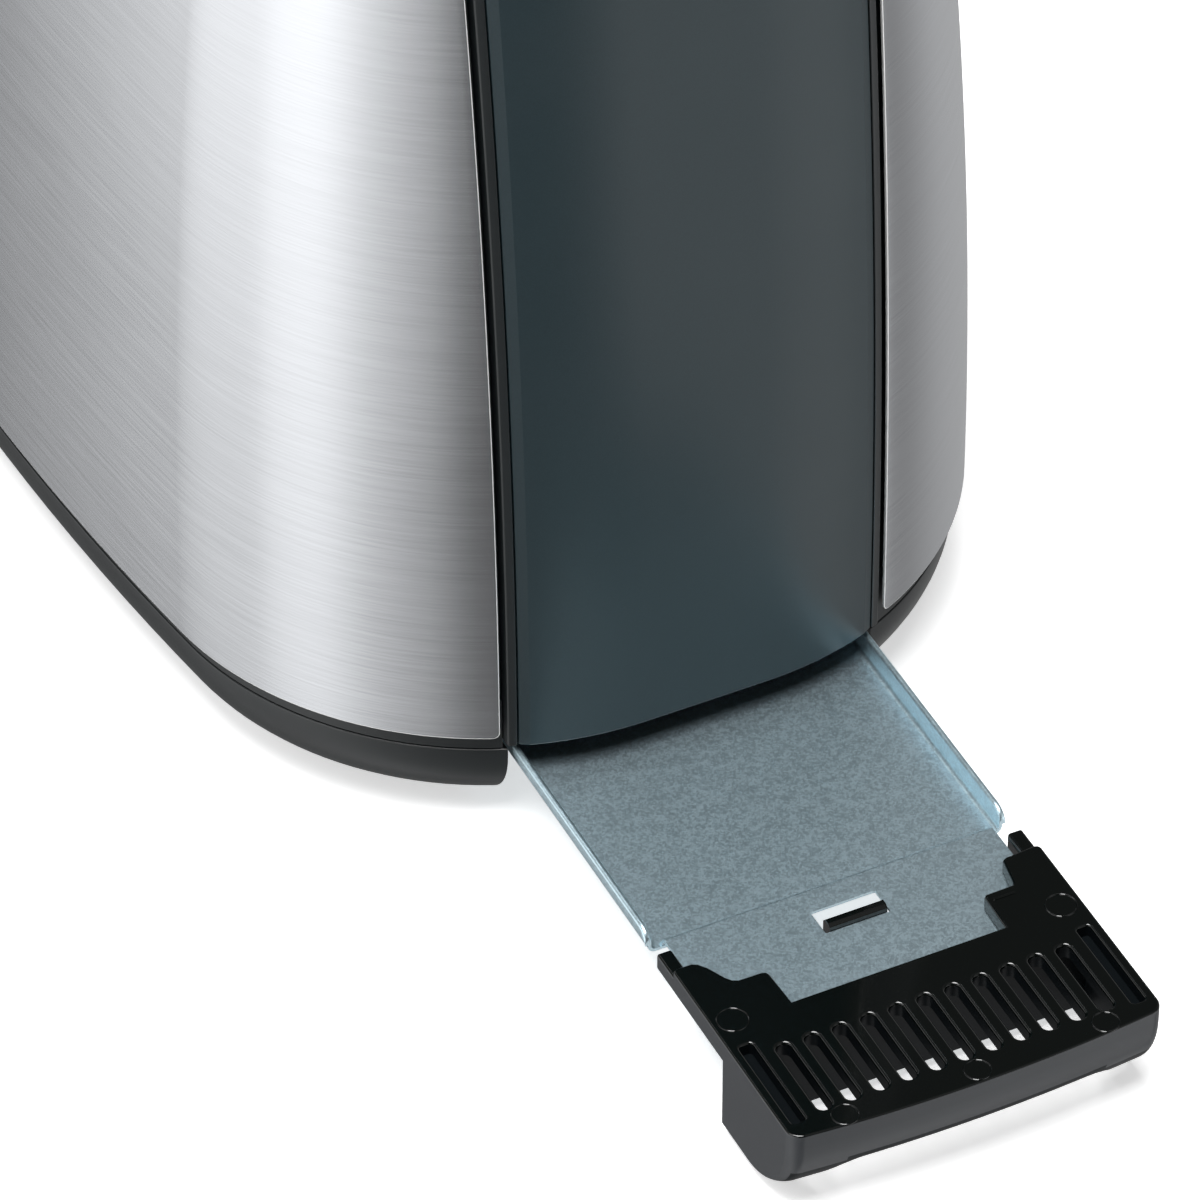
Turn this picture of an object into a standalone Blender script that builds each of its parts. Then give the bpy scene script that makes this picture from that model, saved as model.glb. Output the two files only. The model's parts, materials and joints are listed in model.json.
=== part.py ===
"""Two-slot pop up toaster with its crumb tray pulled out, as separate working pieces.

Metres, +Z up. The toaster stands on the plane z = 0. Its tray end faces -Y and its control
end faces +Y. The origin is the centre, seen from above, of the box round the toaster and its
pulled-out tray. Every piece is drawn about the middle of the casing and hangs from the empty
"casing_centre", which carries that middle to its place.
"""

import math

import bmesh
import bpy
from mathutils import Matrix, Vector

# Casing: an oval of tangent arcs whose walls lean inwards, ever more, towards the top.
BODY_HALF_WIDTH = 0.0866
BODY_HALF_LENGTH = 0.165
BODY_HEIGHT = 0.206
SIDE_RADIUS = 0.707
CORNER_RADIUS = 0.067
END_RADIUS = 2.0
LEAN_RADIUS = 1.374
LEAN_START = 0.022
GAP = 0.0003
MOULDED_WALL = 0.0022

# Base
BASE_BOTTOM = 0.0025
BASE_TOP = 0.0203
BASE_INSET = 0.0018
BASE_ROUND = 0.016
BAY_HALF_WIDTH = 0.0366
BAY_DEPTH = 0.0265
TRAY_MOUTH_FLOOR = 0.0140

# Housing, panels and top cover
HOUSING_BOTTOM = BASE_TOP + GAP
HOUSING_TOP = 0.1896
HOUSING_RIM_TOP = 0.0320
FRAME_HALF_WIDTH = 0.0460
FRAME_INSET = 0.0029
PANEL_HALF_WIDTH = 0.0353
PANEL_THICKNESS = 0.0025
PANEL_BOTTOM = 0.0226
PANEL_TOP = 0.1885
RIB_INNER_X = 0.0356
RIB_OUTER_X = 0.0373
RIM_EDGE_X = 0.0374
STEEL_EDGE_X = 0.0386
STEEL_THICKNESS = 0.0009
STEEL_BOTTOM = 0.0245
STEEL_TOP = 0.1896
COVER_BOTTOM = 0.1900
COVER_CROWN = 0.2048
COVER_ROUND = 0.0120

# Bread slots and the chamber below them
SLOT_X = 0.030
SLOT_HALF_WIDTH = 0.015
SLOT_HALF_LENGTH = 0.082
SLOT_ROUND = 0.006
CHAMBER_Y = -0.020
CHAMBER_HALF_LENGTH = 0.085
SHEET = 0.0010
PLATE_HALF_WIDTH = 0.060
PLATE_LEG_INNER = 0.044
PLATE_BOTTOM = 0.0156
PLATE_TOP = 0.1860
HEATER_OUTER_X = 0.0512
HEATER_INNER_X = 0.0080
SHIELD_X = 0.0570
SCREW_HOLE_RADIUS = 0.0018
TRIM_HALF_WIDTH = 0.0500
TRIM_HALF_LENGTH = 0.0905
TRIM_LIP_BOTTOM = 0.1970
TRIM_SHEET = 0.0008

# Crumb tray and its handle, in the pulled-out place that is their rest
HANDLE_Y = -0.2475
HANDLE_TOP = 0.0220
HANDLE_HALF_WIDTH = 0.0362
HANDLE_FRONT = -0.0234
HANDLE_SAG = 0.0020
HANDLE_CORNER = 0.0026
SCOOP_TOP = 0.0112
SCOOP_HALF_WIDTH = 0.029
FASCIA_BACK = 0.0045
FASCIA_ROUND = 0.0160
HANDLE_PLATE = 0.0030
GRIP_SLOTS = 11
GRIP_PITCH = 0.00547
GRIP_SLOT_WIDTH = 0.0028
GRIP_SLOT_LENGTH = 0.0173
TRAY_HALF_WIDTH = 0.0360
TRAY_FLOOR = 0.0162
TRAY_WALL_TOP = 0.0207
TRAY_SHEET = 0.0006
TRAY_FRONT = 0.0356
TRAY_LENGTH = 0.1790

# Lift: carriage, bread supports and lever
LIFT_TRAVEL = 0.080
SUPPORT_TOP = 0.1260
ROD_Y = 0.0840
ROD_RADIUS = 0.0025
ROD_BOSS_TOP = 0.0236
SPRING_FOOT = ROD_BOSS_TOP + GAP
HUB_BOTTOM = 0.1150
LEVER_Z = 0.1680
LEVER_KNOB_BACK = 0.1840
LEVER_HALF_THICKNESS = 0.0011
MAGNET_TOP = 0.0450
GUIDE_HINGE_Z = 0.0360
GUIDE_OUTER_X = 0.0462
GUIDE_INNER_X = 0.0138
GUIDE_TOP = 0.1760
GUIDE_WIRE = 0.0008
GUIDE_BARS = 7

# Controls on the +Y end
KNOB_Z = 0.0450
KNOB_RADIUS = 0.0160
KNOB_FACE = 0.1790
BUTTON_Z = 0.0720
BUTTON_PITCH = 0.0210
BUTTON_NAMES = ("button_reheat", "button_defrost", "button_stop")
BUTTON_HALF = (0.0082, 0.0042)
BOARD_Y = 0.1430
BOARD_THICKNESS = 0.0016
SHAFT_RADIUS = 0.0030

FOOT_PLACES = {
    "foot_front_left": (-0.048, -0.118),
    "foot_front_right": (0.048, -0.118),
    "foot_rear_left": (-0.048, 0.118),
    "foot_rear_right": (0.048, 0.118),
}
SCREW_PLACES = {
    "base_screw_front_left": (-0.052, -0.100),
    "base_screw_front_right": (0.052, -0.100),
    "base_screw_rear_left": (-0.052, 0.062),
    "base_screw_rear_right": (0.052, 0.062),
}
GLAND_X = -0.045

# The box round the whole object runs from the handle's front to the lever knob's back.
HANDLE_REACH = -(HANDLE_Y + HANDLE_FRONT)
CASING_Y = (HANDLE_REACH - LEVER_KNOB_BACK) / 2

# Cutters run this far past what they cut
PAST = 0.01
AXES = (Vector((1.0, 0.0, 0.0)), Vector((0.0, 1.0, 0.0)), Vector((0.0, 0.0, 1.0)))


# --- Scene, materials and objects ---------------------------------------------------------


def clear_scene():
    for obj in list(bpy.data.objects):
        bpy.data.objects.remove(obj, do_unlink=True)


def material(name, colour, roughness, metallic):
    made = bpy.data.materials.new(name)
    made.use_nodes = True
    shader = made.node_tree.nodes["Principled BSDF"]
    shader.inputs["Base Color"].default_value = (*colour, 1.0)
    shader.inputs["Roughness"].default_value = roughness
    shader.inputs["Metallic"].default_value = metallic
    made.diffuse_color = (*colour, 1.0)
    return made


def make_materials():
    return {
        "steel": material("brushed_steel", (0.62, 0.63, 0.65), 0.30, 1.0),
        "galvanised": material("galvanised_sheet", (0.48, 0.53, 0.56), 0.42, 1.0),
        "wire": material("bright_wire", (0.55, 0.56, 0.58), 0.30, 1.0),
        "plastic": material("anthracite_plastic", (0.055, 0.065, 0.072), 0.42, 0.0),
        "panel": material("panel_plastic", (0.045, 0.060, 0.068), 0.45, 0.0),
        "gloss": material("gloss_black_plastic", (0.020, 0.022, 0.024), 0.12, 0.0),
        "rubber": material("foot_rubber", (0.02, 0.02, 0.02), 0.85, 0.0),
        "mica": material("mica_board", (0.55, 0.47, 0.33), 0.60, 0.0),
        "board": material("circuit_board", (0.10, 0.28, 0.14), 0.50, 0.0),
    }


def object_of(name, bm, finish=None, origin=(0.0, 0.0, 0.0)):
    """The bmesh as an object under the casing's empty, its own origin at the given point."""
    bmesh.ops.translate(bm, verts=bm.verts[:], vec=-Vector(origin))
    bmesh.ops.recalc_face_normals(bm, faces=bm.faces[:])
    mesh = bpy.data.meshes.new(name)
    bm.to_mesh(mesh)
    bm.free()
    obj = bpy.data.objects.new(name, mesh)
    bpy.context.scene.collection.objects.link(obj)
    obj.location = origin
    obj.parent = CASING
    if finish is None:
        obj.hide_render = True
        obj.display_type = "WIRE"
    else:
        mesh.materials.append(MATERIALS[finish])
        mesh.shade_smooth()
        mesh.set_sharp_from_angle(angle=math.radians(30))
    return obj


def combine(obj, operation, *others):
    """Adds one Boolean modifier for each hidden helper."""
    for other in others:
        modifier = obj.modifiers.new(other.name, "BOOLEAN")
        modifier.operation = operation
        modifier.object = other
        modifier.solver = "EXACT"
    return obj


def cut(obj, *cutters):
    return combine(obj, "DIFFERENCE", *cutters)


def join(obj, *additions):
    return combine(obj, "UNION", *additions)


# --- Simple solids ------------------------------------------------------------------------


def box_mesh(low, high, radius=0.0, axis=2, segments=3):
    """A box between two corners, with the four edges along one axis rounded if asked."""
    bm = bmesh.new()
    low, high = Vector(low), Vector(high)
    size = high - low
    bmesh.ops.create_cube(bm, size=1.0)
    bmesh.ops.scale(bm, vec=size, verts=bm.verts[:])
    bmesh.ops.translate(bm, vec=(low + high) / 2, verts=bm.verts[:])
    if radius:
        along = [e for e in bm.edges if abs((e.verts[0].co - e.verts[1].co)[axis]) > size[axis] / 2]
        bmesh.ops.bevel(
            bm, geom=along, offset=radius, segments=segments, profile=0.5, affect="EDGES", material=-1
        )
    return bm


def box(name, low, high, finish=None, radius=0.0, axis=2, origin=(0.0, 0.0, 0.0)):
    return object_of(name, box_mesh(low, high, radius, axis), finish, origin)


def turned_mesh(centre, profile, axis=2, segments=20):
    """A round solid about an axis through the centre: (radius, distance along the axis) pairs.

    The axis is 0, 1 or 2, or a direction.
    """
    bm = bmesh.new()
    points = [Vector((radius, 0.0, along)) for radius, along in profile]
    verts = [bm.verts.new(point) for point in points]
    edges = [bm.edges.new(pair) for pair in zip(verts, verts[1:])]
    bmesh.ops.spin(
        bm, geom=verts + edges, cent=(0, 0, 0), axis=(0, 0, 1),
        angle=math.tau, steps=segments, use_merge=True, use_duplicate=False,
    )
    bmesh.ops.remove_doubles(bm, verts=bm.verts[:], dist=1e-7)
    direction = AXES[axis] if isinstance(axis, int) else Vector(axis)
    turn = AXES[2].rotation_difference(direction).to_matrix().to_4x4()
    bmesh.ops.transform(bm, matrix=Matrix.Translation(centre) @ turn, verts=bm.verts[:])
    return bm


def turned(name, centre, profile, finish=None, axis=2, segments=20, origin=(0.0, 0.0, 0.0)):
    return object_of(name, turned_mesh(centre, profile, axis, segments), finish, origin)


def rod_profile(radius, low, high):
    return [(0.0, low), (radius, low), (radius, high), (0.0, high)]


def prism_mesh(outline, low, high, axis):
    """An outline of (first, second) coordinates, extruded along the third axis."""
    bm = bmesh.new()
    others = [i for i in range(3) if i != axis]
    verts = []
    for first, second in outline:
        point = Vector((0.0, 0.0, 0.0))
        point[others[0]], point[others[1]], point[axis] = first, second, low
        verts.append(bm.verts.new(point))
    face = bm.faces.new(verts)
    moved = bmesh.ops.extrude_face_region(bm, geom=[face])["geom"]
    shift = Vector((0.0, 0.0, 0.0))
    shift[axis] = high - low
    bmesh.ops.translate(bm, verts=[g for g in moved if isinstance(g, bmesh.types.BMVert)], vec=shift)
    return bm


def prism(name, outline, low, high, axis, finish=None):
    return object_of(name, prism_mesh(outline, low, high, axis), finish)


def arc(centre, radius, start, end, segments):
    """Points on an arc, angles in degrees."""
    return [
        (
            centre[0] + radius * math.cos(math.radians(start + (end - start) * i / segments)),
            centre[1] + radius * math.sin(math.radians(start + (end - start) * i / segments)),
        )
        for i in range(segments + 1)
    ]


# --- The casing's outline and walls -------------------------------------------------------


def corner_centre():
    """Centre of the corner arc that touches both the side arc and the end arc."""
    side, end = Vector((BODY_HALF_WIDTH - SIDE_RADIUS, 0.0)), Vector((0.0, BODY_HALF_LENGTH - END_RADIUS))
    to_side, to_end = SIDE_RADIUS - CORNER_RADIUS, END_RADIUS - CORNER_RADIUS
    span = (end - side).length
    along = (to_side**2 - to_end**2 + span**2) / (2 * span)
    across = math.sqrt(to_side**2 - along**2)
    unit = (end - side) / span
    return side + along * unit + across * Vector((-unit.y, unit.x)) * (1 if unit.y < 0 else -1)


CORNER = corner_centre()
SIDE_ANGLE = math.atan2(CORNER.y, CORNER.x - (BODY_HALF_WIDTH - SIDE_RADIUS))
END_ANGLE = math.atan2(CORNER.y - (BODY_HALF_LENGTH - END_RADIUS), CORNER.x)


def outline_point(angle, inset):
    """(x, y) where the outline, drawn in by the inset, faces the given direction."""
    c, s = math.cos(angle), math.sin(angle)
    quarter = math.atan2(abs(s), abs(c))
    if quarter < SIDE_ANGLE:
        centre, radius = Vector((BODY_HALF_WIDTH - SIDE_RADIUS, 0.0)), SIDE_RADIUS
    elif quarter > END_ANGLE:
        centre, radius = Vector((0.0, BODY_HALF_LENGTH - END_RADIUS)), END_RADIUS
    else:
        centre, radius = CORNER, CORNER_RADIUS
    x = centre.x + (radius - inset) * abs(c)
    y = centre.y + (radius - inset) * abs(s)
    return math.copysign(x, c), math.copysign(y, s)


def lean(z):
    return max(0.0, z - LEAN_START) ** 2 / (2 * LEAN_RADIUS)


def end_y(x, inset):
    """How far out the end of the outline lies at this x."""
    x = abs(x)
    reach = END_RADIUS - inset
    if x <= reach * math.cos(END_ANGLE):
        return BODY_HALF_LENGTH - END_RADIUS + math.sqrt(reach**2 - x**2)
    return CORNER.y + math.sqrt((CORNER_RADIUS - inset) ** 2 - (x - CORNER.x) ** 2)


def angle_at(x, inset):
    """Direction that the outline faces where the corner arc crosses this x."""
    return math.acos((x - CORNER.x) / (CORNER_RADIUS - inset))


def arc_angles(limit, side_steps=4, corner_steps=9):
    """Directions from the middle of a side to the limit, close together on the corner."""
    side = [SIDE_ANGLE * i / side_steps for i in range(side_steps)]
    return side + [SIDE_ANGLE + (limit - SIDE_ANGLE) * i / corner_steps for i in range(corner_steps + 1)]


def ring_angles():
    quarter = arc_angles(END_ANGLE) + [math.pi / 2]
    half = quarter + [math.pi - a for a in reversed(quarter[:-1])]
    return half + [math.tau - a for a in reversed(half[1:-1])]


def ring_mesh(profile, cap_start=False, cap_end=False, closed=False):
    """Sweeps (inset, z) pairs round the whole outline."""
    bm = bmesh.new()
    angles = ring_angles()

    def ring(inset, z):
        return [(*outline_point(angle, inset), z) for angle in angles]

    verts = [bm.verts.new(point) for point in ring(*profile[0])]
    edges = [bm.edges.new((a, b)) for a, b in zip(verts, verts[1:] + verts[:1])]
    first = list(edges)
    for step in profile[1:] + ([profile[0]] if closed else []):
        made = bmesh.ops.extrude_edge_only(bm, edges=edges)["geom"]
        edges = [g for g in made if isinstance(g, bmesh.types.BMEdge)]
        fresh = {tuple(round(c, 6) for c in g.co): g for g in made if isinstance(g, bmesh.types.BMVert)}
        verts = [fresh[tuple(round(c, 6) for c in old.co)] for old in verts]
        for vert, place in zip(verts, ring(*step)):
            vert.co = place
    if cap_start:
        bmesh.ops.contextual_create(bm, geom=first)
    if cap_end:
        bmesh.ops.contextual_create(bm, geom=edges)
    bmesh.ops.remove_doubles(bm, verts=bm.verts[:], dist=1e-7)
    return bm


def ring(name, profile, finish=None, **caps):
    return object_of(name, ring_mesh(profile, **caps), finish)


def slab_mesh(columns, rows, place):
    """A sheet-like block of columns by rows, bent to place(u, v, w), each from 0 to 1."""
    bm = bmesh.new()
    bmesh.ops.create_grid(bm, x_segments=columns, y_segments=rows, size=0.5)
    made = bmesh.ops.extrude_face_region(bm, geom=bm.faces[:], use_keep_orig=True)["geom"]
    bmesh.ops.translate(bm, verts=[g for g in made if isinstance(g, bmesh.types.BMVert)], vec=(0, 0, 1))
    for vert in bm.verts:
        vert.co = place(vert.co.x + 0.5, vert.co.y + 0.5, vert.co.z)
    return bm


def end_slab_mesh(end, x_low, x_high, z_low, z_high, inset, thickness, columns=8, rows=8):
    """A stretch of wall across an end: end is -1 for the tray end, +1 for the control end."""

    def place(u, v, w):
        x = x_low + (x_high - x_low) * u
        z = z_low + (z_high - z_low) * v
        return x, end * end_y(x, inset + thickness * w + lean(z)), z

    return slab_mesh(columns, rows, place)


def end_slab(name, end, x_low, x_high, z_low, z_high, inset, thickness, finish=None, columns=8, rows=8):
    return object_of(
        name, end_slab_mesh(end, x_low, x_high, z_low, z_high, inset, thickness, columns, rows), finish
    )


# --- Casing -------------------------------------------------------------------------------


def base_profile(inset, radius, bottom):
    """From the top edge of the wall, down it and round under to the floor."""
    turn = [
        (inset + radius * (1 - math.cos(a)), bottom + radius * (1 - math.sin(a)))
        for a in (math.radians(15 * i) for i in range(7))
    ]
    return [(inset, BASE_TOP)] + turn


def make_base():
    """The moulded dish that carries everything, with the bay that the tray's handle fills."""
    outer_profile = base_profile(BASE_INSET, BASE_ROUND, BASE_BOTTOM)
    base = ring("base", outer_profile, "plastic", cap_start=True, cap_end=True)
    bay_back = -BODY_HALF_LENGTH + BAY_DEPTH
    inner = BASE_INSET + MOULDED_WALL
    hollow_profile = base_profile(inner, BASE_ROUND - MOULDED_WALL, BASE_BOTTOM + MOULDED_WALL)
    hollow_profile[0] = (inner, BASE_TOP + PAST)
    hollow = ring("base_hollow", hollow_profile, cap_start=True, cap_end=True)
    bay_walls = box(
        "bay_walls",
        (-BAY_HALF_WIDTH - MOULDED_WALL, -0.2, 0.0),
        (BAY_HALF_WIDTH + MOULDED_WALL, bay_back + MOULDED_WALL, 0.05),
    )
    cut(hollow, bay_walls)
    bay = box("bay", (-BAY_HALF_WIDTH, -0.2, -0.01), (BAY_HALF_WIDTH, bay_back, 0.05), radius=0.002)
    mouth = box(
        "tray_mouth", (-BAY_HALF_WIDTH - 0.0012, bay_back - 0.01, TRAY_MOUTH_FLOOR),
        (BAY_HALF_WIDTH + 0.0012, bay_back + 0.01, 0.05),
    )
    cut(base, hollow, bay, mouth)
    floor = BASE_BOTTOM + MOULDED_WALL - 0.0005
    for name, (x, y) in SCREW_PLACES.items():
        join(base, turned(f"{name}_boss", (x, y, 0), rod_profile(0.0052, floor, 0.0142), segments=12))
        cut(
            base,
            turned(f"{name}_hole", (x, y, 0), rod_profile(SCREW_HOLE_RADIUS, -PAST, 0.03), segments=10),
            turned(f"{name}_recess", (x, y, 0), rod_profile(0.0036, -PAST, 0.0080), segments=10),
        )
    for name, (x, y) in FOOT_PLACES.items():
        cut(base, turned(f"{name}_hole", (x, y, 0), rod_profile(0.0032, -0.01, 0.0080), segments=10))
    join(base, turned("rod_boss", (0, ROD_Y, 0), rod_profile(0.0060, floor, ROD_BOSS_TOP), segments=12))
    cut(base, turned("rod_socket", (0, ROD_Y, 0), rod_profile(ROD_RADIUS + GAP, 0.0080, 0.05), segments=10))
    for side in (-1, 1):
        x_low, x_high = sorted((side * 0.0240, side * 0.0290))
        join(base, box(
            f"board_post_{side}", (x_low, BOARD_Y - 0.0030, floor), (x_high, BOARD_Y + 0.0040, 0.0297),
        ))
        for row in range(6):
            y = -0.070 + 0.022 * row
            cut(base, box(
                f"vent_{side}_{row}", (side * 0.024 - 0.014, y - 0.002, -0.01),
                (side * 0.024 + 0.014, y + 0.002, 0.01),
            ))
    place, direction = gland_frame()
    cut(base, turned("gland_hole", place, rod_profile(0.0055, -0.02, 0.02), axis=direction, segments=12))


def gland_frame():
    """Where the lead's bush sits on the base's wall, and the way that the wall faces there."""
    angle = math.pi - angle_at(-GLAND_X, BASE_INSET)
    x, y = outline_point(angle, BASE_INSET)
    return (x, y, 0.0135), (math.cos(angle), math.sin(angle), 0.0)


def side_wrap_mesh(side, edge_x, z_low, z_high, inset, thickness, rows=8):
    """A stretch of wall round one long side and its two corners, up to x = edge_x on each end."""
    half_columns = len(arc_angles(END_ANGLE)) - 1

    def place(u, v, w):
        z = z_low + (z_high - z_low) * v
        depth = inset + thickness * w + lean(z)
        half = arc_angles(angle_at(edge_x, depth))
        x, y = outline_point(half[round(abs(2 * u - 1) * half_columns)], depth)
        return side * x, math.copysign(y, u - 0.5), z

    return slab_mesh(2 * half_columns, rows, place)


def make_housing():
    """The moulded frame: a rim above the base and an upright frame at each end."""
    housing = object_of(
        "housing",
        side_wrap_mesh(-1, RIM_EDGE_X, HOUSING_BOTTOM, HOUSING_RIM_TOP, BASE_INSET, MOULDED_WALL, rows=1),
        "plastic",
    )
    frames = {
        end: end_slab(
            f"frame_{end}", end, -FRAME_HALF_WIDTH, FRAME_HALF_WIDTH,
            PANEL_BOTTOM - GAP, HOUSING_TOP, FRAME_INSET, MOULDED_WALL, columns=14,
        )
        for end in (-1, 1)
    }
    other_side = object_of("rim_right", side_wrap_mesh(
        1, RIM_EDGE_X, HOUSING_BOTTOM, HOUSING_RIM_TOP, BASE_INSET, MOULDED_WALL, rows=1,
    ))
    sill = end_slab(
        "control_sill", 1, -RIM_EDGE_X - 0.002, RIM_EDGE_X + 0.002,
        HOUSING_BOTTOM + 0.0001, PANEL_BOTTOM - GAP + 0.0001, BASE_INSET, MOULDED_WALL, columns=12, rows=1,
    )
    join(housing, frames[-1], frames[1], other_side, sill)
    for end in (-1, 1):
        for side in (-1, 1):
            x_low, x_high = sorted((side * RIB_INNER_X, side * RIB_OUTER_X))
            join(housing, end_slab(
                f"rib_{end}_{side}", end, x_low, x_high,
                PANEL_BOTTOM - 0.0002, PANEL_TOP, 0.0002, 0.0035, columns=1,
            ))
    lever_way = box("lever_way", (-0.0030, 0.10, 0.0800), (0.0030, 0.2, 0.1860))
    cut(housing, lever_way, knob_hole("frame_knob_hole"), *button_holes("frame"))


def knob_hole(name):
    return turned(name, (0, 0.14, KNOB_Z), rod_profile(0.0045, 0.0, 0.04), axis=1, segments=12)


def button_holes(tag):
    """Cutters for the three buttons."""
    half_x, half_z = BUTTON_HALF
    return [
        box(
            f"{tag}_hole_{name}",
            (x - half_x - 0.0004, 0.14, BUTTON_Z - half_z - 0.0004),
            (x + half_x + 0.0004, 0.2, BUTTON_Z + half_z + 0.0004),
            radius=0.0018, axis=1,
        )
        for name, x in zip(BUTTON_NAMES, (-BUTTON_PITCH, 0.0, BUTTON_PITCH))
    ]


def make_end_panels():
    for end, name in ((-1, "end_panel"), (1, "control_panel")):
        panel = end_slab(
            name, end, -PANEL_HALF_WIDTH, PANEL_HALF_WIDTH, PANEL_BOTTOM, PANEL_TOP,
            0.0, PANEL_THICKNESS, "panel", columns=12,
        )
        if end > 0:
            slot = box("lever_slot", (-0.0026, 0.10, 0.0830), (0.0026, 0.2, 0.1830), radius=0.0024, axis=1)
            cut(panel, slot, knob_hole("panel_knob_hole"), *button_holes("panel"))


def make_side_panels():
    """A steel wrap round each long side."""
    for name, side in (("side_panel_left", -1), ("side_panel_right", 1)):
        wrap = side_wrap_mesh(side, STEEL_EDGE_X, STEEL_BOTTOM, STEEL_TOP, 0.0, STEEL_THICKNESS)
        object_of(name, wrap, "steel")


def cover_profile(wall):
    """The top's wall and rounded shoulder, at a depth of wall inside its outer face."""
    start = lean(COVER_BOTTOM) + wall
    step = start + 0.0004
    rise, radius = COVER_CROWN - COVER_ROUND, COVER_ROUND - wall
    shoulder = [
        (step + radius * (1 - math.cos(a)), rise + radius * math.sin(a))
        for a in (math.radians(18 * i) for i in range(1, 6))
    ]
    return [(start, COVER_BOTTOM), (step, rise)] + shoulder


def slot_shape(tag, side, more, z_low, z_high):
    """An upright block with a bread slot's outline, larger by the given amount all round."""
    x, half_width, half_length = side * SLOT_X, SLOT_HALF_WIDTH + more, SLOT_HALF_LENGTH + more
    return box(
        f"slot_{tag}_{side}", (x - half_width, CHAMBER_Y - half_length, z_low),
        (x + half_width, CHAMBER_Y + half_length, z_high), radius=SLOT_ROUND + more,
    )


def make_top():
    """The moulded top and the steel plate with the two bread slots that lies on it."""
    cover = ring(
        "top_cover", cover_profile(0.0025)[::-1] + cover_profile(0.0), "plastic",
        cap_start=True, cap_end=True,
    )
    trim = box(
        "slot_trim", (-TRIM_HALF_WIDTH, CHAMBER_Y - TRIM_HALF_LENGTH, COVER_CROWN + GAP),
        (TRIM_HALF_WIDTH, CHAMBER_Y + TRIM_HALF_LENGTH, BODY_HEIGHT), "steel", radius=0.012,
    )
    through = (TRIM_LIP_BOTTOM - PAST, BODY_HEIGHT + PAST)
    for side in (-1, 1):
        join(trim, slot_shape("lip", side, TRIM_SHEET, TRIM_LIP_BOTTOM, BODY_HEIGHT - 0.0002))
        cut(trim, slot_shape("opening", side, 0.0, *through))
        cut(cover, slot_shape("clearance", side, TRIM_SHEET + 2 * GAP, *through))


def make_feet():
    neck, lip, tip = 0.0029, 0.0042, 0.0075
    under, over = BASE_BOTTOM - GAP, BASE_BOTTOM + MOULDED_WALL + GAP
    profile = [
        (0, 0), (0.0078, 0), (0.0084, under), (neck, under), (neck, over), (lip, over),
        (0.0030, tip), (0, tip),
    ]
    for name, (x, y) in FOOT_PLACES.items():
        turned(name, (x, y, 0), profile, "rubber", segments=16)


def make_screws():
    head, shank, head_low, head_high = 0.0031, 0.0014, 0.0056, 0.0077
    profile = [
        (0, head_low), (head, head_low), (head, head_high), (shank, head_high), (shank, 0.0200), (0, 0.0206),
    ]
    for name, (x, y) in SCREW_PLACES.items():
        turned(name, (x, y, 0), profile, "wire", segments=12)


def make_gland():
    """The bush that a mains lead would pass through, held in the base's wall."""
    place, direction = gland_frame()
    profile = [
        (0.0036, -0.0085), (0.0050, -0.0085), (0.0050, GAP), (0.0064, GAP),
        (0.0060, 0.0030), (0.0036, 0.0030), (0.0036, -0.0085),
    ]
    turned("cord_gland", place, profile, "rubber", axis=direction, segments=16)


# --- Crumb tray ---------------------------------------------------------------------------


def handle_depth(x, y, half_width):
    """Draws a point towards the back so that the front follows its shallow arc and round corners."""
    past = min(HANDLE_CORNER, max(0.0, abs(x) - half_width + HANDLE_CORNER))
    sag = HANDLE_SAG * (x / HANDLE_HALF_WIDTH) ** 2
    sag += HANDLE_CORNER - math.sqrt(HANDLE_CORNER**2 - past**2)
    share = max(0.0, (FASCIA_BACK - y) / (FASCIA_BACK - HANDLE_FRONT))
    return y + sag * share


def fascia_mesh(inset, half_width, top):
    """The rounded front of the handle, from its flat top down and under, drawn in by the inset."""
    radius = FASCIA_ROUND - inset
    centre = (HANDLE_FRONT + FASCIA_ROUND, BASE_BOTTOM + FASCIA_ROUND)
    back = FASCIA_BACK - inset
    turned_to, bottom = (240, -PAST / 2) if inset else (270, BASE_BOTTOM)
    front = arc(centre, radius, 180, turned_to, 6)
    outline = [(back, top), (front[0][0], top)] + front + [(back, bottom)]
    if inset:
        outline.insert(-1, (front[-1][0], bottom))
    corner = [half_width - HANDLE_CORNER * (1 - math.sin(math.radians(a))) for a in (90, 65, 40, 20, 0)]
    middle = [(half_width - HANDLE_CORNER) * share for share in (0.66, 0.33)]
    right = corner + middle
    stations = [-x for x in right] + [0.0] + right[::-1]
    bm = bmesh.new()
    verts = [bm.verts.new((stations[0], y, z)) for y, z in outline]
    edges = [bm.edges.new(pair) for pair in zip(verts, verts[1:] + verts[:1])]
    first = list(edges)
    for x_from, x_to in zip(stations, stations[1:]):
        made = bmesh.ops.extrude_edge_only(bm, edges=edges)["geom"]
        edges = [g for g in made if isinstance(g, bmesh.types.BMEdge)]
        fresh = [g for g in made if isinstance(g, bmesh.types.BMVert)]
        bmesh.ops.translate(bm, verts=fresh, vec=(x_to - x_from, 0, 0))
    bmesh.ops.contextual_create(bm, geom=first)
    bmesh.ops.contextual_create(bm, geom=edges)
    for vert in bm.verts:
        vert.co.y = HANDLE_Y + handle_depth(vert.co.x, vert.co.y, half_width)
    return bm


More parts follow.
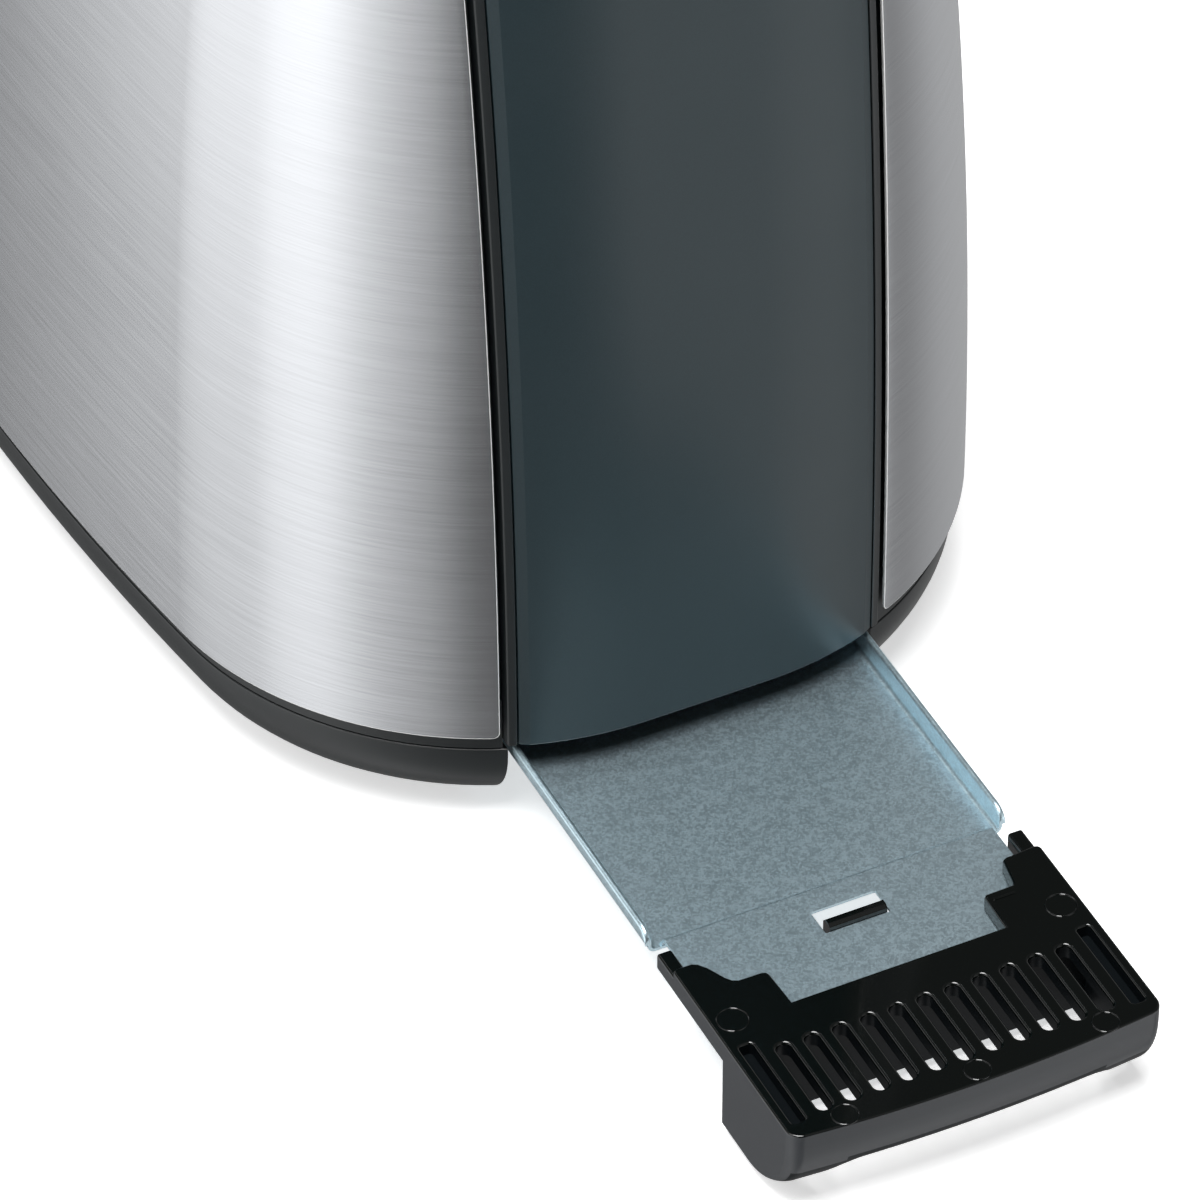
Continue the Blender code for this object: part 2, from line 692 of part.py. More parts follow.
def make_tray_handle():
    handle = object_of("tray_handle", fascia_mesh(0.0, HANDLE_HALF_WIDTH, HANDLE_TOP), "gloss")
    plate_bottom = HANDLE_TOP - HANDLE_PLATE
    lobe = [
        (HANDLE_HALF_WIDTH, 0.0), (HANDLE_HALF_WIDTH, 0.0242), (0.0290, 0.0238), (0.0272, 0.0172),
        (0.0211, 0.0172), (0.0209, 0.0084),
    ]
    outline = lobe + [(-x, y) for x, y in reversed(lobe)]
    outline = [(x, HANDLE_Y + y) for x, y in outline]
    join(handle, prism("handle_plate", outline, plate_bottom, HANDLE_TOP - 0.00002, 2))
    for side in (-1, 1):
        x_low, x_high = sorted((side * 0.0332, side * 0.0363))
        join(handle, box(
            f"handle_arm_{side}", (x_low, HANDLE_Y + 0.0030, 0.0170), (x_high, HANDLE_Y + 0.0305, 0.0205),
        ))
    join(handle, box(
        "sheet_lug", (-0.0040, HANDLE_Y + 0.0070, plate_bottom - 0.0040),
        (0.0050, HANDLE_Y + 0.0100, HANDLE_TOP - 0.001),
    ))
    hollow = fascia_mesh(MOULDED_WALL, HANDLE_HALF_WIDTH - MOULDED_WALL, HANDLE_TOP - MOULDED_WALL)
    cut(handle, object_of("handle_hollow", hollow))
    for index in range(GRIP_SLOTS):
        x = (index - (GRIP_SLOTS - 1) / 2) * GRIP_PITCH
        cut(handle, box(
            f"grip_slot_{index}",
            (x - GRIP_SLOT_WIDTH / 2, HANDLE_Y - GRIP_SLOT_LENGTH, HANDLE_TOP - 0.008),
            (x + GRIP_SLOT_WIDTH / 2, HANDLE_Y, HANDLE_TOP + PAST), radius=0.0012,
        ))
    cut(handle, box(
        "finger_scoop", (-SCOOP_HALF_WIDTH, HANDLE_Y - 0.05, -PAST),
        (SCOOP_HALF_WIDTH, HANDLE_Y - 0.004, SCOOP_TOP), radius=0.006, axis=1,
    ))


def make_tray_sheet():
    """The folded sheet: a floor with three low walls and a raised tongue under the handle."""
    front, back = HANDLE_Y + TRAY_FRONT, HANDLE_Y + TRAY_FRONT + TRAY_LENGTH
    under = TRAY_FLOOR - TRAY_SHEET
    tongue_top = HANDLE_TOP - HANDLE_PLATE - GAP
    sheet = box(
        "tray_sheet", (-TRAY_HALF_WIDTH, front, under), (TRAY_HALF_WIDTH, back, TRAY_WALL_TOP), "galvanised"
    )
    wall = 0.0008
    cut(sheet, box(
        "tray_inside", (-TRAY_HALF_WIDTH + wall, front + TRAY_SHEET, TRAY_FLOOR),
        (TRAY_HALF_WIDTH - wall, back - wall, TRAY_WALL_TOP + PAST),
    ))
    cut(sheet, box("tray_front_cut", (-0.04, front - PAST, tongue_top), (0.04, front + 0.0012, 0.03)))
    tongue = 0.0326
    join(sheet, box(
        "tray_tongue", (-tongue, HANDLE_Y + 0.0062, tongue_top - TRAY_SHEET),
        (tongue, front + 0.0004, tongue_top),
    ))
    cut(sheet, box(
        "tongue_window", (-0.0064, HANDLE_Y + 0.0236, 0.0), (0.0064, HANDLE_Y + 0.0295, 0.05), radius=0.0012,
    ))
    cut(sheet, box("lug_window", (-0.0046, HANDLE_Y + 0.0064, 0.0), (0.0056, HANDLE_Y + 0.0106, 0.05)))


def make_tray_rails():
    """Angles with a foot flange, on the base's bosses, that the tray slides along."""
    foot_low, foot_high = 0.0145, 0.0153
    for name, side in (("tray_rail_left", -1), ("tray_rail_right", 1)):
        x_low, x_high = sorted((side * 0.0340, side * 0.0570))
        rail = box(name, (x_low, -0.1100, foot_low), (x_high, 0.0760, foot_high), "galvanised")
        x_low, x_high = sorted((side * 0.0376, side * 0.0384))
        join(rail, box(f"{name}_wall", (x_low, -0.1100, foot_low + 0.0002), (x_high, 0.0760, 0.0214)))
        for place, (x, y) in SCREW_PLACES.items():
            if x * side > 0:
                hole = rod_profile(SCREW_HOLE_RADIUS, 0.0, 0.03)
                cut(rail, turned(f"{name}_{place}", (x, y, 0), hole, segments=10))


# --- Chassis, heaters and electrics -------------------------------------------------------


def make_chassis():
    """Two upright plates on the base's bosses, and the heat shields between them."""
    places = {
        "chassis_front": (CHAMBER_Y - CHAMBER_HALF_LENGTH, -1),
        "chassis_rear": (CHAMBER_Y + CHAMBER_HALF_LENGTH, 1),
    }
    leg, half_width, arch = PLATE_LEG_INNER, PLATE_HALF_WIDTH, 0.0280
    right = [
        (leg, arch), (leg, PLATE_BOTTOM), (half_width, PLATE_BOTTOM), (half_width, PLATE_TOP),
    ]
    outline = right + [(-x, z) for x, z in reversed(right)]
    for name, (y, side) in places.items():
        y_low, y_high = sorted((y, y + side * SHEET))
        plate = prism(name, outline, y_low, y_high, 1, "galvanised")
        screws = {place: at for place, at in SCREW_PLACES.items() if (at[1] - CHAMBER_Y) * side > 0}
        for place, (x, screw_y) in screws.items():
            foot_y = screw_y + math.copysign(0.006, screw_y - y)
            flange_low, flange_high = sorted((foot_y, y + side * SHEET / 2))
            x_low, x_high = sorted((math.copysign(leg, x), math.copysign(half_width, x)))
            join(plate, box(
                f"{name}_flange_{place}", (x_low, flange_low, PLATE_BOTTOM),
                (x_high, flange_high, PLATE_BOTTOM + SHEET),
            ))
            hole = rod_profile(SCREW_HOLE_RADIUS, 0.0, 0.03)
            cut(plate, turned(f"{name}_{place}", (x, screw_y, 0), hole, segments=10))
        for x in (-GUIDE_OUTER_X, -GUIDE_INNER_X, GUIDE_INNER_X, GUIDE_OUTER_X):
            pivot_hole = rod_profile(0.0014, -PAST, PAST)
            cut(plate, turned(
                f"{name}_pivot_hole_{x}", (x, y, GUIDE_HINGE_Z), pivot_hole, axis=1, segments=10
            ))
        if side > 0:
            for x in (-SLOT_X, SLOT_X):
                cut(plate, box(
                    f"support_way_{x}", (x - 0.0062, y_low - PAST, SUPPORT_TOP - LIFT_TRAVEL - 0.0140),
                    (x + 0.0062, y_high + PAST, SUPPORT_TOP + 0.0040),
                ))
    for name, side in (("heat_shield_left", -1), ("heat_shield_right", 1)):
        x_low, x_high = sorted((side * SHIELD_X, side * (SHIELD_X + 0.0008)))
        box(
            name, (x_low, CHAMBER_Y - CHAMBER_HALF_LENGTH + 0.0006, 0.0300),
            (x_high, CHAMBER_Y + CHAMBER_HALF_LENGTH - 0.0006, 0.1850), "galvanised",
        )


def make_heaters():
    """Mica boards that carry the heating ribbon, one on each face of each slot."""
    boards = {
        "heater_outer_left": -HEATER_OUTER_X, "heater_inner_left": -HEATER_INNER_X,
        "heater_inner_right": HEATER_INNER_X, "heater_outer_right": HEATER_OUTER_X,
    }
    half_thickness, half_length = 0.0006, CHAMBER_HALF_LENGTH - 0.0006
    for name, x in boards.items():
        box(
            name, (x - half_thickness, CHAMBER_Y - half_length, 0.0420),
            (x + half_thickness, CHAMBER_Y + half_length, 0.1680), "mica",
        )


def make_electrics():
    """The magnet that holds the lever down, the control board and the browning control."""
    board = box(
        "circuit_board", (-0.0300, BOARD_Y, 0.0300), (0.0300, BOARD_Y + BOARD_THICKNESS, 0.0825), "board"
    )
    pot_hole = rod_profile(0.0042, -PAST, PAST)
    cut(board, turned("pot_hole", (0, BOARD_Y, KNOB_Z), pot_hole, axis=1, segments=12))
    for name, x in zip(BUTTON_NAMES, (-BUTTON_PITCH, 0.0, BUTTON_PITCH)):
        join(board, box(
            f"{name}_switch", (x - 0.0030, BOARD_Y + 0.0012, BUTTON_Z - 0.0030),
            (x + 0.0030, BOARD_Y + 0.0052, BUTTON_Z + 0.0030),
        ))
    body, bush, back, tip = 0.0078, 0.0039, -0.0090, 0.0270
    profile = [
        (0, back), (body, back), (body, -GAP), (bush, -GAP), (bush, 0.0050),
        (SHAFT_RADIUS, 0.0060), (SHAFT_RADIUS, tip), (0, tip),
    ]
    turned("browning_control", (0, BOARD_Y, KNOB_Z), profile, "wire", axis=1, segments=16)
    magnet = box("electromagnet", (0.0200, 0.0740, 0.0300), (0.0380, 0.0940, MAGNET_TOP), "wire")
    cut(magnet, box("magnet_channel", (0.0260, 0.07, 0.0410), (0.0320, 0.10, 0.05)))
    join(magnet, box("magnet_foot", (0.0180, 0.0660, 0.0290), (0.0400, 0.0980, 0.0304)))
    box("terminal_block", (-0.0320, 0.1120, 0.0050), (-0.0140, 0.1240, 0.0180), "gloss")


# --- Lift ---------------------------------------------------------------------------------


def make_lift():
    """The carriage on its rod, with the bread supports, the lever and the magnet's keeper."""
    carriage = box("lift_carriage", (-0.0360, 0.0700, 0.1180), (0.0360, 0.0712, 0.1330), "galvanised")
    join(carriage, box("carriage_hub", (-0.0060, 0.0705, HUB_BOTTOM), (0.0060, 0.0900, 0.1360)))
    bore = rod_profile(ROD_RADIUS + 0.0004, 0.1, 0.15)
    cut(carriage, turned("carriage_bore", (0, ROD_Y, 0), bore, segments=16))
    y_low, y_high = CHAMBER_Y - CHAMBER_HALF_LENGTH + 0.0080, 0.0697
    for name, x in (("bread_support_left", -SLOT_X), ("bread_support_right", SLOT_X)):
        support = box(
            name, (x - 0.0045, y_low, SUPPORT_TOP - 0.0012), (x + 0.0045, y_high, SUPPORT_TOP), "galvanised"
        )
        join(support, box(
            f"{name}_web", (x - 0.0006, y_low, SUPPORT_TOP - 0.0080),
            (x + 0.0006, y_high, SUPPORT_TOP - 0.0006),
        ))
    arm_half, arm_tip, root_low, root_high = 0.0045, 0.1720, 0.1180, 0.1300
    outline = [
        (0.0903, root_low), (0.1060, root_low), (0.1060, LEVER_Z - arm_half), (arm_tip, LEVER_Z - arm_half),
        (arm_tip, LEVER_Z + arm_half), (0.1000, LEVER_Z + arm_half), (0.1000, root_high), (0.0903, root_high),
    ]
    prism("lever_arm", outline, -LEVER_HALF_THICKNESS, LEVER_HALF_THICKNESS, 0, "galvanised")
    knob = box(
        "lever_knob", (-0.0150, 0.1650, LEVER_Z - 0.0065), (0.0150, LEVER_KNOB_BACK, LEVER_Z + 0.0065),
        "gloss", radius=0.004, axis=1,
    )
    socket = LEVER_HALF_THICKNESS + GAP
    cut(knob, box(
        "lever_socket", (-socket, 0.16, LEVER_Z - arm_half - GAP),
        (socket, arm_tip + GAP, LEVER_Z + arm_half + GAP),
    ))
    keeper_low = MAGNET_TOP + 0.0005 + LIFT_TRAVEL
    box("magnet_keeper", (0.0220, 0.0715, keeper_low), (0.0350, 0.0900, keeper_low + 0.0025), "wire")


def make_rod_and_spring():
    turned("guide_rod", (0, ROD_Y, 0), rod_profile(ROD_RADIUS, 0.0083, 0.1840), "wire", segments=16)
    bracket = box("rod_bracket", (-0.0130, 0.0663, 0.1790), (0.0130, 0.0940, 0.1802), "galvanised")
    join(bracket, box("bracket_tab", (-0.0130, 0.0663, 0.1600), (0.0130, 0.0673, 0.1796)))
    cut(bracket, turned("bracket_bore", (0, ROD_Y, 0), rod_profile(ROD_RADIUS + GAP, 0.1, 0.2), segments=16))
    low, high = SPRING_FOOT, HUB_BOTTOM - GAP
    spring_profile = [(0.0032, low), (0.0044, low), (0.0044, high), (0.0032, high), (0.0032, low)]
    turned("lift_spring", (0, ROD_Y, 0), spring_profile, "wire", segments=16)


def make_bread_guides():
    """Wire gates either side of each slot, hinged along their bottom wire."""
    gates = {
        "bread_guide_outer_left": -GUIDE_OUTER_X, "bread_guide_inner_left": -GUIDE_INNER_X,
        "bread_guide_inner_right": GUIDE_INNER_X, "bread_guide_outer_right": GUIDE_OUTER_X,
    }
    wire, pivot = GUIDE_WIRE, GUIDE_WIRE - 0.0001
    half_length = CHAMBER_HALF_LENGTH - 0.0040
    y_low, y_high = CHAMBER_Y - half_length, CHAMBER_Y + half_length
    pitch = (y_high - y_low) / GUIDE_BARS
    for name, x in gates.items():
        gate = box(
            name, (x - wire, y_low, GUIDE_HINGE_Z - wire), (x + wire, y_high, GUIDE_TOP), "wire",
            origin=(x, CHAMBER_Y, GUIDE_HINGE_Z),
        )
        join(gate, box(
            f"{name}_pivot", (x - pivot, y_low - 0.0080, GUIDE_HINGE_Z - pivot),
            (x + pivot, y_high + 0.0080, GUIDE_HINGE_Z + pivot),
        ))
        for bar in range(GUIDE_BARS):
            cut(gate, box(
                f"{name}_window_{bar}", (x - PAST, y_low + pitch * bar + wire, GUIDE_HINGE_Z + wire),
                (x + PAST, y_low + pitch * (bar + 1) - wire, GUIDE_TOP - 2 * wire),
            ))


# --- Controls -----------------------------------------------------------------------------


def make_controls():
    """The browning knob on its shaft, and the three buttons in the panel above it."""
    back = end_y(0, 0) + 0.0006
    skirt, face, bore_end, bore = back - BOARD_Y, KNOB_FACE - BOARD_Y, 0.0274, SHAFT_RADIUS + 0.0004
    profile = [
        (bore, skirt), (KNOB_RADIUS, skirt), (KNOB_RADIUS - 0.0008, face - 0.0016),
        (KNOB_RADIUS - 0.0024, face), (0, face), (0, bore_end), (bore, bore_end), (bore, skirt),
    ]
    turned(
        "browning_knob", (0, BOARD_Y, KNOB_Z), profile, "gloss", axis=1, segments=32, origin=(0, back, KNOB_Z)
    )
    half_x, half_z = BUTTON_HALF
    for name, x in zip(BUTTON_NAMES, (-BUTTON_PITCH, 0.0, BUTTON_PITCH)):
        face = end_y(x, lean(BUTTON_Z)) + 0.0022
        button = box(
            name, (x - half_x, face - 0.0100, BUTTON_Z - half_z), (x + half_x, face, BUTTON_Z + half_z),
            "gloss", radius=0.0015, axis=1, origin=(x, face, BUTTON_Z),
        )
        stem = 0.0015
        join(button, box(
            f"{name}_stem", (x - stem, BOARD_Y + 0.0080, BUTTON_Z - stem),
            (x + stem, face - 0.0090, BUTTON_Z + stem),
        ))


clear_scene()
MATERIALS = make_materials()
CASING = bpy.data.objects.new("casing_centre", None)
bpy.context.scene.collection.objects.link(CASING)
CASING.location = (0.0, CASING_Y, 0.0)

make_base()
make_housing()
make_end_panels()
make_side_panels()
make_top()
make_feet()
make_screws()
make_gland()
make_tray_handle()
make_tray_sheet()
make_tray_rails()
make_chassis()
make_heaters()
make_electrics()
make_lift()
make_rod_and_spring()
make_bread_guides()
make_controls()
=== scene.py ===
"""Finishes a two-slot pop up toaster around its packed working model.

Metres, +Z up. The tray end faces -Y and the control end +Y, as in the working model, whose
nodes give every place. Each sub-assembly is a class with its sizes as fields. It builds finer
meshes than the working model's, sets them on the same bodies and dresses them.
"""

import json
import logging
import math
from dataclasses import dataclass
from enum import Enum
from functools import cached_property
from typing import Callable, Optional, Sequence

import bmesh
import bpy
from bmesh.types import BMEdge, BMesh, BMFace, BMVert
from mathutils import Euler, Matrix, Vector

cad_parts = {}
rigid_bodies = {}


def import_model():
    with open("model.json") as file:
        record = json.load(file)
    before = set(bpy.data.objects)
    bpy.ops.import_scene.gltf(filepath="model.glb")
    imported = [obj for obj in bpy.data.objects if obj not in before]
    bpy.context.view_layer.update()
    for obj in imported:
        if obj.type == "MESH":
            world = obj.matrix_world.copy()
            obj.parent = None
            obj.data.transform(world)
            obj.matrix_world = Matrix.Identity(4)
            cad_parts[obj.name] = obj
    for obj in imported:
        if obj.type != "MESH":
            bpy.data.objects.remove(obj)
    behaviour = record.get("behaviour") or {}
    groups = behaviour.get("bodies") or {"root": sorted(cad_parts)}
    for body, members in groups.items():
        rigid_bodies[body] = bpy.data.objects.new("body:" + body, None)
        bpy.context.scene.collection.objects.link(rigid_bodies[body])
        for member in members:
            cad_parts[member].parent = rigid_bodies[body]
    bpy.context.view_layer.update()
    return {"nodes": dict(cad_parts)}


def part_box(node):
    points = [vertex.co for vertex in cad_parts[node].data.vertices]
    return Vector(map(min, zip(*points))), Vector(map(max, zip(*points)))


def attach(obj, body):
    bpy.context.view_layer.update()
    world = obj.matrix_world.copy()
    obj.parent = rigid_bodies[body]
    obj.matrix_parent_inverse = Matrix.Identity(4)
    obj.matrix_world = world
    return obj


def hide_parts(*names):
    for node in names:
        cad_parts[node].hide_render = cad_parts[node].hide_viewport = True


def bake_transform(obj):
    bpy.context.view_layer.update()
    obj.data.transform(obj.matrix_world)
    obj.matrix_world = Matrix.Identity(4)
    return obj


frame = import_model()
LOG = logging.getLogger("toaster")

MM = 0.001
GRAIN_MAP = "grain"
BUTTONS = ("button_reheat", "button_defrost", "button_stop")
SCREWS = ("base_screw_front_left", "base_screw_front_right", "base_screw_rear_left", "base_screw_rear_right")
FEET = ("foot_front_left", "foot_front_right", "foot_rear_left", "foot_rear_right")
BORE_END = 0.1704  # how deep the browning knob's bore goes, along Y from the casing's centre
HOLE_GAP = 0.0004  # what a hole leaves clear all round a button
Point = tuple[float, float, float]
Profile = Sequence[tuple[float, float]]


# --- Mesh tools ---------------------------------------------------------------------------


def loft(levels: Sequence[Sequence[Point]], closed: bool = False) -> BMesh:
    """Joins rings of points, each with the same count, into one closed solid.

    Args:
        levels: the rings in order, each a closed loop of points.
        closed: joins the last ring to the first in place of capping both.

    Returns:
        A new bmesh with its normals outwards.
    """
    bm = bmesh.new()
    verts = [bm.verts.new(point) for point in levels[0]]
    edges = [bm.edges.new(pair) for pair in zip(verts, verts[1:] + verts[:1])]
    first = list(edges)
    for level in list(levels[1:]) + ([levels[0]] if closed else []):
        made = bmesh.ops.extrude_edge_only(bm, edges=edges)["geom"]
        edges = [g for g in made if isinstance(g, BMEdge)]
        fresh = {key_of(g.co): g for g in made if isinstance(g, BMVert)}
        verts = [fresh[key_of(old.co)] for old in verts]
        for vert, place in zip(verts, level):
            vert.co = place
    if not closed:
        bmesh.ops.contextual_create(bm, geom=first)
        bmesh.ops.contextual_create(bm, geom=edges)
    bmesh.ops.remove_doubles(bm, verts=bm.verts[:], dist=1e-7)
    bmesh.ops.recalc_face_normals(bm, faces=bm.faces[:])
    return bm


def key_of(place: Vector) -> tuple[float, ...]:
    """A hashable stand-in for a place, to a hundredth of a micrometre."""
    return tuple(round(c, 8) for c in place)


def turned(centre: Point, profile: Profile, direction: Point = (0, 0, 1), steps: int = 48) -> BMesh:
    """Turns a profile about an axis.

    Args:
        centre: the point on the axis that the profile is measured from.
        profile: (radius, distance along the axis) pairs.
        direction: the way that the axis points.
        steps: how many facets go round.

    Returns:
        A new bmesh with its normals outwards.
    """
    bm = bmesh.new()
    verts = [bm.verts.new((radius, 0.0, along)) for radius, along in profile]
    edges = [bm.edges.new(pair) for pair in zip(verts, verts[1:])]
    bmesh.ops.spin(
        bm, geom=verts + edges, cent=(0, 0, 0), axis=(0, 0, 1), angle=math.tau, steps=steps,
        use_merge=True, use_duplicate=False,
    )
    bmesh.ops.remove_doubles(bm, verts=bm.verts[:], dist=1e-7)
    bmesh.ops.recalc_face_normals(bm, faces=bm.faces[:])
    turn = Vector((0, 0, 1)).rotation_difference(Vector(direction)).to_matrix().to_4x4()
    bmesh.ops.transform(bm, matrix=Matrix.Translation(centre) @ turn, verts=bm.verts[:])
    return bm


def block(low: Point, high: Point, bevel: float = 0.0, segments: int = 3) -> BMesh:
    """A box between two corners.

    Args:
        low: the corner with the lowest coordinates.
        high: the corner with the highest coordinates.
        bevel: the radius that rounds every edge.
        segments: facets across that rounding.

    Returns:
        A new bmesh.
    """
    bm = bmesh.new()
    bmesh.ops.create_cube(bm, size=1.0)
    bmesh.ops.scale(bm, vec=Vector(high) - Vector(low), verts=bm.verts[:])
    bmesh.ops.translate(bm, vec=(Vector(low) + Vector(high)) / 2, verts=bm.verts[:])
    if bevel:
        round_edges(bm, bm.edges[:], bevel, segments)
    return bm


def round_edges(bm: BMesh, edges: Sequence[BMEdge], radius: float, segments: int = 3) -> None:
    """Rounds the given edges."""
    bmesh.ops.bevel(
        bm, geom=list(edges), offset=radius, segments=segments, profile=0.5, affect="EDGES",
        material=-1, clamp_overlap=True,
    )


def sharp_edges(bm: BMesh, degrees: float = 40.0) -> list[BMEdge]:
    """The edges whose two faces meet at more than the given angle."""
    limit = math.radians(degrees)
    return [e for e in bm.edges if len(e.link_faces) == 2 and e.calc_face_angle(0.0) > limit]


def plate(outline: Profile, z_low: float, z_high: float) -> BMesh:
    """An upright solid with the given outline, seen from above."""
    return loft([[(x, y, z) for x, y in outline] for z in (z_low, z_high)])


def joined(*parts: BMesh) -> BMesh:
    """Puts several bmeshes into the first, as separate shells."""
    first = parts[0]
    for part in parts[1:]:
        spare = bpy.data.meshes.new("spare")
        part.to_mesh(spare)
        part.free()
        first.from_mesh(spare)
        bpy.data.meshes.remove(spare)
    return first


def wire(points: Sequence[Point], radius: float, closed: bool = False, sides: int = 3) -> BMesh:
    """A round wire along a line of points.

    Args:
        points: the wire's own line.
        radius: half the wire's thickness.
        closed: joins the last point to the first.
        sides: facets in a quarter of the wire's section.

    Returns:
        A new bmesh with capped ends.
    """
    curve = bpy.data.curves.new("wire", "CURVE")
    curve.dimensions = "3D"
    curve.bevel_depth = radius
    curve.bevel_resolution = sides
    curve.use_fill_caps = True
    spline = curve.splines.new("POLY")
    spline.points.add(len(points) - 1)
    for point, place in zip(spline.points, points):
        point.co = (*place, 1.0)
    spline.use_cyclic_u = closed
    holder = bpy.data.objects.new("wire", curve)
    bpy.context.scene.collection.objects.link(holder)
    mesh = bpy.data.meshes.new_from_object(holder.evaluated_get(bpy.context.evaluated_depsgraph_get()))
    bm = bmesh.new()
    bm.from_mesh(mesh)
    bpy.data.objects.remove(holder)
    bpy.data.meshes.remove(mesh)
    bpy.data.curves.remove(curve)
    bmesh.ops.remove_doubles(bm, verts=bm.verts[:], dist=1e-6)
    bmesh.ops.recalc_face_normals(bm, faces=bm.faces[:])
    return bm


def boolean(solid: BMesh, operation: str, others: Sequence[BMesh]) -> BMesh:
    """Cuts solids out of one, or joins them to it.

    Args:
        solid: the solid that is changed.
        operation: DIFFERENCE or UNION.
        others: the solids to cut or join, one after another.

    Returns:
        A new bmesh. All those given are freed.
    """
    holder = hidden_object(solid)
    helpers = [hidden_object(other) for other in others]
    for helper in helpers:
        modifier = holder.modifiers.new(operation, "BOOLEAN")
        modifier.operation = operation
        modifier.object = helper
        modifier.solver = "EXACT"
    evaluated = holder.evaluated_get(bpy.context.evaluated_depsgraph_get())
    mesh = bpy.data.meshes.new_from_object(evaluated)
    bm = bmesh.new()
    bm.from_mesh(mesh)
    for obj in [holder, *helpers]:
        data = obj.data
        bpy.data.objects.remove(obj)
        bpy.data.meshes.remove(data)
    bpy.data.meshes.remove(mesh)
    bmesh.ops.remove_doubles(bm, verts=bm.verts[:], dist=1e-6)
    bmesh.ops.dissolve_degenerate(bm, edges=bm.edges[:], dist=1e-6)
    return bm


def hidden_object(bm: BMesh) -> bpy.types.Object:
    """A short-lived object that holds a bmesh for a modifier."""
    mesh = bpy.data.meshes.new("helper")
    bm.to_mesh(mesh)
    bm.free()
    obj = bpy.data.objects.new("helper", mesh)
    bpy.context.scene.collection.objects.link(obj)
    return obj


def arc(
    centre: tuple[float, float], radius: float, start: float, end: float, steps: int
) -> list[tuple[float, float]]:
    """Points on an arc.

    Args:
        centre: the arc's centre.
        radius: its radius.
        start: the first angle in degrees.
        end: the last angle in degrees.
        steps: how many chords it has.

    Returns:
        The points, both ends included.
    """
    angles = [math.radians(start + (end - start) * i / steps) for i in range(steps + 1)]
    return [(centre[0] + radius * math.cos(a), centre[1] + radius * math.sin(a)) for a in angles]


def stadium(
    x: float, y: float, half_width: float, half_length: float, radius: float, steps: int = 8
) -> list[tuple[float, float]]:
    """A rectangle with round corners, seen from above, anticlockwise from its +X side."""
    radius = min(radius, half_width, half_length)
    corners = ((1, 1, 0), (-1, 1, 90), (-1, -1, 180), (1, -1, 270))
    points: list[tuple[float, float]] = []
    for side_x, side_y, start in corners:
        centre = (x + side_x * (half_width - radius), y + side_y * (half_length - radius))
        points += arc(centre, radius, start, start + 90, steps)
    return points


def flared_cutter(x: float, y: float, half_width: float, half_length: float, radius: float,
                  top: float, bottom: float, flare: float) -> BMesh:
    """A cutter whose mouth widens in a quarter circle, so that the hole it leaves has a rounded edge.

    Args:
        x: the hole's centre.
        y: the hole's centre.
        half_width: half its size along X.
        half_length: half its size along Y.
        radius: the radius of its corners, seen from above.
        top: the height of the surface that is cut.
        bottom: how far down the cutter goes.
        flare: the radius of the rounded edge.

    Returns:
        A new bmesh.
    """
    turn = [math.radians(a) for a in (0, 15, 30, 45, 60, 75, 88)]
    stack = [(0.0, bottom)] + [(flare * (1 - math.cos(a)), top - flare + flare * math.sin(a)) for a in turn]
    stack.append((flare * 1.05, top + 1 * MM))
    return loft([
        [(px, py, z) for px, py in stadium(x, y, half_width + more, half_length + more, radius + more)]
        for more, z in stack
    ])


# --- Finishes -----------------------------------------------------------------------------


